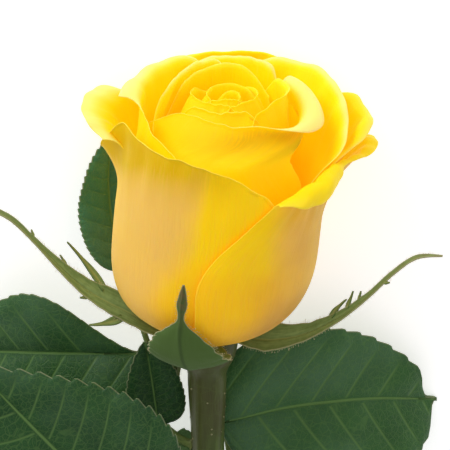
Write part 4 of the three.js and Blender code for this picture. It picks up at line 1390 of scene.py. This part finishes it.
@dataclass(frozen=True)
class Leaf:
    """A compound leaf: a stalk from the stem with leaflets along it and one at its end."""

    node: str
    height: float
    azimuth: float
    stalk: Sequence[Sequence[float]]
    leaflets: Sequence[Leaflet]

    def stalk_line(self, stem: Stem) -> Array:
        """Points of the stalk's middle, from its seat on the bark."""
        out = ray(self.azimuth)
        seat = stem.middle(self.height) + out * (stem.radius_at(self.height) - 0.4)
        knots = [seat, seat + out * 2.0 + vec((0, 0, 0.5)), *self.stalk]
        t = np.linspace(0, 1, 40)
        return np.stack([along([knot[axis] for knot in knots], t) for axis in range(3)], axis=-1)

    def shells(self, stem: Stem) -> list[Shell]:
        """Stalk, stalklets and leaflets, the stalks with the bark's finish index."""
        line = self.stalk_line(stem)
        t = np.linspace(0, 1, len(line))
        radii = 0.62 + 0.4 * (1 - t) ** 1.5 + 0.9 * bump(t, 0.0, 0.05)
        shells = [Shell.tube(line, radii, 14, {"run": 40 + 60 * t}, 1)]
        for leaflet in self.leaflets:
            shells.append(leaflet.shell())
            first, last = vec(leaflet.start or leaflet.base), vec(leaflet.base)
            last = last + 0.06 * (vec(leaflet.tip) - last)
            steps = np.linspace(0, 1, 8)
            stalklet = first + (last - first) * steps[:, None]
            shells.append(Shell.tube(stalklet, 0.62 - 0.12 * steps, 10, {"run": 60 + 0 * steps}, 1))
        return shells

    def stipules(self, stem: Stem) -> list[Shell]:
        """The pair of narrow wings along the stalk's foot."""
        line = self.stalk_line(stem)[2:16]
        wings = []
        ahead = unit(np.gradient(line, axis=0))
        for hand in (-1.0, 1.0):
            across = unit(np.cross(ahead, vec((0, -1, 0.2)))) * hand
            t = np.linspace(0, 1, len(line))[:, None]
            reach = 0.6 + 1.9 * np.sin(math.pi * np.clip(t * 0.95 + 0.05, 0, 1)) ** 0.6
            reach = reach * (1 + 0.5 * bump(t, 0.9, 0.12))
            share = np.linspace(0, 1, 6)[None]
            grid = line[:, None] + across[:, None] * (reach * share)[..., None]
            grid = grid + vec((0, -1, 0)) * (0.35 * share ** 2)[..., None]
            if hand < 0:
                grid = grid[:, ::-1]
            run = t * 8
            numbers = {"wide": 20 + run, "run": run, "rib": 3.0, "vein": run * 0.3,
                       "margin": (1 - share) * reach, "gloss": 0.0, "tone": 0.8}
            wings.append(Shell.blade(grid, 0.22, numbers))
        return wings


FRONT = (0, -0.96, 0.28)
LEVEL = (0, -0.98, 0.1)

LEAVES = (
    Leaf("leaf_upper_left", -27.5, 165, (
        (-6.8, 1.8, -25.6), (-10, 3, -22.6), (-13.2, 4.2, -16), (-12, 5.2, -9.4)), (
        Leaflet((-11.4, 5.2, -9.4), (-56.5, 18.8, -16.4), (0, -0.94, 0.34), 12.2, 5, 20, gloss=0.4, seed=41,
                sway=1, wave=0.5, fold=(0.2, 0.3), bite=0.3, shape=(0.4, 0.8), right_shape=(2.2, 2.5), veins=7,
                columns=41),
        Leaflet((-17, 14, 4.6), (-18.6, 17.2, 33), (0.49, -0.87, 0), 7.6, -3, 22, (-10.8, 4.9, -10),
                tone=1.8, gloss=0.6, seed=42, wave=0.35, bite=0.35),
        # The short leaflet below the long one lies in its shadow: its low tone is its darker colour together
        # with painted shade.
        Leaflet((-9.8, 2.6, -24), (-12.2, 1.6, -4.6), (0.2, -0.92, 0.2), 6.0, 1, 12, tone=-1.2, seed=43,
                wave=0.3, bite=0.25, shape=(0.28, 0.6)),
    )),
    Leaf("leaf_upper_right", -46, 50, ((4.6, 5.6, -39), (4.2, 6.2, -31), (2.7, 6.3, -25.2)), (
        Leaflet((2.6, 6.2, -25.6), (46.4, 18.8, -27.4), (0, -0.97, 0.2), 17.6, 4.4, 13, tone=0.9, gloss=0.05,
                seed=44, sway=-3.4, wave=0.6, bite=0.45, shape=(0.2, 0.6), right_shape=(0.55, 0.5), tail=0.06,
                veins=6, columns=49),
        Leaflet((4.7, 5.5, -36.6), (32, 14, -56), LEVEL, 9.6, 2, 14, tone=0.3, seed=45),
        Leaflet((4.6, 5.3, -37.4), (-19, 13.6, -52), LEVEL, 9, 2, 14, seed=46),
    )),
    Leaf("leaf_middle_left", -68, 218, ((-6.4, -5, -58.5), (-9.2, -7.2, -49), (-13, -9, -41)), (
        Leaflet((-12.6, -8.8, -41.8), (-45, -9, -4), FRONT, 20, 2.4, 18, tone=-0.5, gloss=0.15, seed=47,
                wave=0.4, bite=0.8, shape=(0.6, 1.05), columns=49),
        Leaflet((-8.6, -6.8, -50.4), (-40, -2, -53), FRONT, 10.4, 2, 14, seed=48),
        Leaflet((-8, -6.4, -51.8), (17, -7, -55), FRONT, 9.8, 2, 14, seed=49, tone=0.2),
        Leaflet((-5.6, -4.6, -58), (-30, -1, -70), FRONT, 8.4, 1.6, 12, seed=50),
        Leaflet((-5.2, -4.2, -59.2), (15, -5.4, -74), FRONT, 8, 1.6, 12, seed=51, tone=0.3),
    )),
    Leaf("leaf_lower_right", -114, 12, ((9, 2.2, -107), (17, 3.6, -98.5), (25, 4.6, -91)), (
        Leaflet((24.4, 4.5, -91.6), (53, 10, -67), LEVEL, 12.4, 3, 18, gloss=0.2, seed=52, tone=0.2),
        Leaflet((17.4, 3.6, -98), (15, 7.6, -70), LEVEL, 9.4, 1.6, 14, seed=53),
        Leaflet((18, 3.7, -97.6), (47, 8.6, -102), LEVEL, 9.6, 1.6, 14, seed=54, tone=0.3),
        Leaflet((10, 2.3, -106), (34, 6.6, -121), LEVEL, 8.2, 1.4, 12, seed=55),
    )),
)


@dataclass
class Foliage:
    """The compound leaves on their stalks."""

    leaves: Sequence[Leaf] = LEAVES
    blade: LeafFinish = LeafFinish("leaf_blade")
    stalk: StemFinish = StemFinish("leaf_stalk", green=(0.10, 0.15, 0.035), light=(0.2, 0.26, 0.07),
                                   brown=(0.16, 0.06, 0.03))

    def build(self, stem: Stem) -> None:
        """Build each leaf as one piece, and hide its solid."""
        materials = [self.blade.material(), self.stalk.material()]
        for leaf in self.leaves:
            piece = make_piece(f"{leaf.node}_blade", leaf.shells(stem) + leaf.stipules(stem), materials)
            fit_piece(piece, "leaf", leaf.node)


# Calyx

@dataclass(frozen=True)
class Lobe:
    """A side lobe of a sepal: where along it starts, on which hand, how long and wide, and how it leans."""

    at: float
    hand: int
    length: float
    width: float = 0.9
    lean: float = 0.8
    lift: float = 0.1


@dataclass(frozen=True)
class Sepal:
    """One sepal through stations of distance from the stem's line, height and half width."""

    node: str
    azimuth: float
    stations: Sequence[tuple[float, float, float]]
    lobes: Sequence[Lobe] = ()
    cup: float = 0.3
    flush: float = 0.3
    sway: Sequence[float] = (0, 0)
    skew: float = 0.0
    twist: float = 0.0
    seed: int = 1
    rows: int = 90
    columns: int = 19

    def frame_at(self, t: Array) -> tuple[Array, Array, Array, Array, Array]:
        """Middle, way ahead, way to the side, way inwards and half width at places along the sepal."""
        out, side = ray(self.azimuth), ray(self.azimuth + 90)
        radius, height, half = (along([station[k] for station in self.stations], t) for k in range(3))
        middle = radius[:, None] * out + along(self.sway, t)[:, None] * side
        middle = middle + np.stack([0 * height, 0 * height, height], axis=-1)
        ahead = unit(np.gradient(middle, axis=0))
        inwards = -np.cross(side, ahead)
        twist = (math.radians(self.twist) * smooth(0.05, 0.3, t))[:, None]
        turned = side * np.cos(twist) + inwards * np.sin(twist)
        inwards = inwards * np.cos(twist) - side * np.sin(twist)
        return middle, ahead, turned, inwards, np.maximum(half, 0.16)

    def shells(self) -> list[Shell]:
        """The sepal's blade and its side lobes."""
        t = np.linspace(0, 1, self.rows)
        path = self.frame_at(t)
        middle, ahead, side, inwards, half = path
        u = np.linspace(-1, 1, self.columns)
        width = half[:, None] * (1 + 0.05 * waves(self.seed, t[:, None] * 16, u[None] * 0.3))
        cup = self.cup * width * smooth(0.03, 0.2, t)[:, None]
        ridge = -0.25 * bump(u, 0.0, 0.16)[None] * smooth(0.0, 0.1, t)[:, None] * np.minimum(half, 1.5)[:, None]
        points = middle[:, None] + side[:, None] * (u[None, :, None] * width[..., None])
        slip = self.skew * u[None] * width * smooth(0.2, 0.5, t)[:, None]
        points = points - ahead[:, None] * slip[..., None]
        points = points + inwards[:, None] * (cup * u[None] ** 2 + ridge)[..., None]
        wide = u[None] * width
        run = travelled(middle)[:, None]
        margin = np.minimum((1 - np.abs(u))[None] * width, run[-1] - run + 0.05)
        flush = self.flush * smooth(0.72, 1.0, t)[:, None]
        numbers = {"wide": wide, "run": run, "margin": margin, "flush": flush}
        thickness = 0.22 + 0.35 * smooth(0.0, 1.5, margin)
        return [Shell.blade(points, thickness, numbers), *(self.lobe_shell(lobe, path) for lobe in self.lobes)]

    def lobe_shell(self, lobe: Lobe, path: tuple[Array, ...]) -> Shell:
        """A narrow pointed blade that grows out of the sepal's edge.

        Args:
            lobe: The side lobe.
            path: Middles, ways and half widths along the sepal, as frame_at gives them.

        Returns:
            The lobe's blade.
        """
        middle, ahead, side, inwards, half = (part[int(round(lobe.at * (self.rows - 1)))] for part in path)
        s = np.linspace(0, 1, 24)[:, None]
        u = np.linspace(-1, 1, 7)[None]
        sideways = side * lobe.hand
        foot = middle + sideways * half * 0.7 + inwards * self.cup * half * 0.5
        turn = lobe.lean * (0.75 + 0.45 * s)
        heading = unit(np.cos(turn) * sideways + np.sin(turn) * ahead + lobe.lift * s * inwards)
        steps = np.concatenate([np.zeros((1, 3)), np.cumsum(heading[:-1], axis=0)])
        line = foot + steps * lobe.length / (len(s) - 1)
        across = unit(np.cross(inwards, heading))
        broad = lobe.width * (1 - s) ** 0.8 * (0.7 + 0.5 * np.sin(math.pi * np.minimum(s * 1.6, 1.0))) + 0.1
        if np.dot(np.cross(across[3], heading[3]), -inwards) < 0:
            u = u[:, ::-1]
        points = line[:, None] + across[:, None] * (u * broad)[..., None]
        points = points + inwards * (0.35 * broad * u ** 2)[..., None]
        numbers = {"wide": u * broad, "run": s * lobe.length, "margin": 0.4 + (1 - np.abs(u)) * broad,
                   "flush": 0.3 * self.flush * s}
        return Shell.blade(points, 0.32, numbers)

    def hair_sites(self, pitch: float, length: float) -> list[Site]:
        """Feet of the glandular hairs along both edges."""
        rng = np.random.default_rng(self.seed + 90)
        t = np.linspace(0.06, 0.985, 400)
        middle, ahead, side, inwards, half = self.frame_at(t)
        run = travelled(middle)
        sites: list[Site] = []
        for hand in (-1, 1):
            place = rng.uniform(0, pitch)
            while place < run[-1]:
                i = int(np.searchsorted(run, place))
                foot = middle[i] + side[i] * hand * half[i] * 0.97 + inwards[i] * self.cup * half[i] * 0.94
                out = side[i] * hand + ahead[i] * rng.uniform(-0.2, 0.5) + inwards[i] * rng.uniform(-0.5, 0.6)
                size = length * rng.uniform(0.55, 1.1) * (0.6 + 0.4 * min(1.0, half[i] / 1.5))
                sites.append((Vector(LYING.place(foot)), aim(out, ahead[i]), size * MM))
                place += pitch * rng.uniform(0.6, 1.5)
        return sites


SEPALS = (
    Sepal("sepal_front", -101, (
        (3.6, -0.95, 1.8), (6, -0.9, 3.2), (10, -1.4, 5.8), (13.6, -1.4, 7.2), (16.8, 0, 7.4),
        (19.4, 3.2, 6.8), (20.8, 7.6, 4.6), (21.2, 12, 0.8), (21.8, 16, 1.0), (22.2, 20.4, 0.2)),
        cup=0.3, flush=0.5, seed=61, sway=(0, 0, 0, -0.5, -0.9, -0.6, 0.1), skew=0.15),
    Sepal("sepal_left", 186, (
        (3.6, -0.95, 1.8), (6, -1.0, 3.0), (10, 0.2, 3.0), (14.5, 3.2, 3.0), (19.3, 6.2, 2.7), (23.6, 9.4, 2.0),
        (28.4, 14.5, 1.2), (33.1, 20.3, 0.65), (37, 24.8, 0.65), (40.6, 27.2, 0.55), (43.6, 28, 0.2)),
        (Lobe(0.43, -1, 12.5, 0.8, 1.3, 0.5), Lobe(0.34, 1, 7.6, 0.8, 0.95, 0.0), Lobe(0.58, -1, 2.4, 0.3, 1.2),
         Lobe(0.71, -1, 1.4, 0.25, 0.9), Lobe(0.48, 1, 1.8, 0.3, 0.9)),
        cup=0.35, twist=-35, seed=62),
    Sepal("sepal_right", -18, (
        (3.6, -0.95, 1.8), (6, -1.1, 3.0), (10, -1.4, 3.2), (14, -0.8, 2.9), (18.6, 0.8, 2.2), (23, 3.4, 1.6),
        (27.5, 6.9, 1.1), (32.5, 12, 0.7), (37, 17.4, 0.6), (41.5, 21.5, 0.5), (46.4, 22.6, 0.18)),
        (Lobe(0.55, 1, 4.8, 0.6, 1.25, 0.2), Lobe(0.62, 1, 3.6, 0.45, 1.0, 0.5), Lobe(0.66, 1, 1.8, 0.25, 0.6),
         Lobe(0.76, -1, 1.5, 0.25, 0.9)),
        cup=0.35, twist=35, seed=63),
    Sepal("sepal_back_right", 54, (
        (3.6, -0.95, 1.8), (6, -1.0, 3.2), (9.6, -2.6, 4), (12.6, -6, 3.9), (14.6, -10.6, 3.2),
        (15.6, -15.6, 2.3), (15.8, -20.6, 1.3), (15.2, -26, 0.2)),
        (Lobe(0.55, 1, 4.0), Lobe(0.68, -1, 3.2, 0.6)), seed=64),
    Sepal("sepal_back_left", 112, (
        (3.6, -0.95, 1.8), (6, -1.0, 3.2), (9.6, -2.2, 4), (13, -5, 3.9), (15.6, -9.2, 3.2),
        (17, -14, 2.3), (17.4, -19, 1.3), (17, -24, 0.2)),
        (Lobe(0.55, -1, 4.0),), seed=65),
)


@dataclass
class Calyx:
    """The five sepals and the glandular hairs on their edges."""

    sepals: Sequence[Sepal] = SEPALS
    hair_pitch: float = 0.42
    hair_length: float = 0.75
    skin: SepalFinish = SepalFinish("sepal_skin")
    hair: SpeckFinish = SpeckFinish("sepal_hair", (0.30, 0.34, 0.13), (0.62, 0.52, 0.32), 0.5)

    def build(self) -> None:
        """Build each sepal as one piece, and the hairs of all as another."""
        skin = self.skin.material()
        sites: list[Site] = []
        for sepal in self.sepals:
            fit_piece(make_piece(f"{sepal.node}_skin", sepal.shells(), [skin]), "sepal", sepal.node)
            sites.extend(sepal.hair_sites(self.hair_pitch, self.hair_length))
        shape = hair_shape("gland_hair", 0.11, 0.05)
        hairs = Sower("sepal_hairs", spread=0.3, seed=7).sow(sites, shape, self.hair.material())
        fit_piece(hairs, "sepal")


# Setting

@dataclass(frozen=True)
class Lamp:
    """A soft square light that looks at the bloom.

    way is the direction from the bloom to it, in the camera's right, up and backward ways; reach and size, its
    distance and side, are metres.
    """

    name: str
    way: Sequence[float]
    reach: float
    size: float
    watts: float


@dataclass
class Studio:
    """Pale floor, soft light and the camera of the photograph, 27 degrees above the bloom's own level."""

    elevation: float = math.radians(27.0)
    distance: float = 600.0
    view_width: float = 87.4
    aim_right: float = 3.5
    aim_up: float = 19.4
    lit: Sequence[float] = (2, 0, 24)
    lamps: Sequence[Lamp] = (
        Lamp("key", (-0.55, 0.6, 0.55), 0.8, 0.45, 2.6), Lamp("fill", (0.8, 0.15, 0.6), 0.9, 0.6, 0.2))
    sky: float = 0.6
    floor_reach: float = 3.0
    white: Colour = (1.0, 1.0, 1.0)

    def axes(self) -> Array:
        """The camera's right, up and backward ways in the part's frame."""
        s, c = math.sin(self.elevation), math.cos(self.elevation)
        return LYING.turn(np.array([[1.0, 0.0, 0.0], [0.0, s, c], [0.0, -c, s]]))

    def camera(self) -> None:
        """Set the camera."""
        axes = self.axes()
        s, c = math.sin(self.elevation), math.cos(self.elevation)
        target = LYING.place(vec((self.aim_right, self.aim_up * s, self.aim_up * c)))
        data = bpy.data.cameras.new("camera")
        data.lens = data.sensor_width * self.distance / self.view_width
        data.clip_start, data.clip_end = 0.01, 20.0
        camera = stand("camera", data)
        turn = Matrix(axes.tolist()).transposed()
        camera.matrix_world = Matrix.Translation(Vector(target + axes[2] * self.distance * MM)) @ turn.to_4x4()
        bpy.context.scene.camera = camera

    def light(self, lamp: Lamp) -> None:
        """Set a light."""
        direction = unit(vec(lamp.way) @ self.axes())
        data = bpy.data.lights.new(lamp.name, "AREA")
        data.energy, data.size, data.color = lamp.watts, lamp.size, self.white
        light = stand(lamp.name, data)
        light.location = LYING.place(vec(self.lit)) + direction * lamp.reach
        light.rotation_euler = Vector(-direction).to_track_quat("-Z", "Y").to_euler()

    def floor(self) -> None:
        """Lay the floor."""
        mesh = bpy.data.meshes.new("floor")
        far = self.floor_reach
        mesh.from_pydata([(-far, -far, 0), (far, -far, 0), (far, far, 0), (-far, far, 0)], [], [(0, 1, 2, 3)])
        mesh.materials.append(FloorFinish().material())
        floor = stand("floor", mesh)

    def build(self) -> None:
        """Set the floor, the sky, the lights and the camera."""
        world = bpy.data.worlds.new("sky")
        world.use_nodes = True
        background = world.node_tree.nodes["Background"]
        background.inputs["Color"].default_value = (*self.white, 1.0)
        background.inputs["Strength"].default_value = self.sky
        bpy.context.scene.world = world
        bpy.context.scene.view_settings.view_transform = "Standard"
        self.floor()
        for lamp in self.lamps:
            self.light(lamp)
        self.camera()


def main() -> None:
    """Build the rose and its setting, piece by piece."""
    logging.basicConfig(level=logging.INFO, format="%(message)s")
    stem = Stem()
    stem.build()
    Calyx().build()
    Bloom().build()
    Foliage().build(stem)
    Studio().build()


if __name__ == "__main__":
    main()
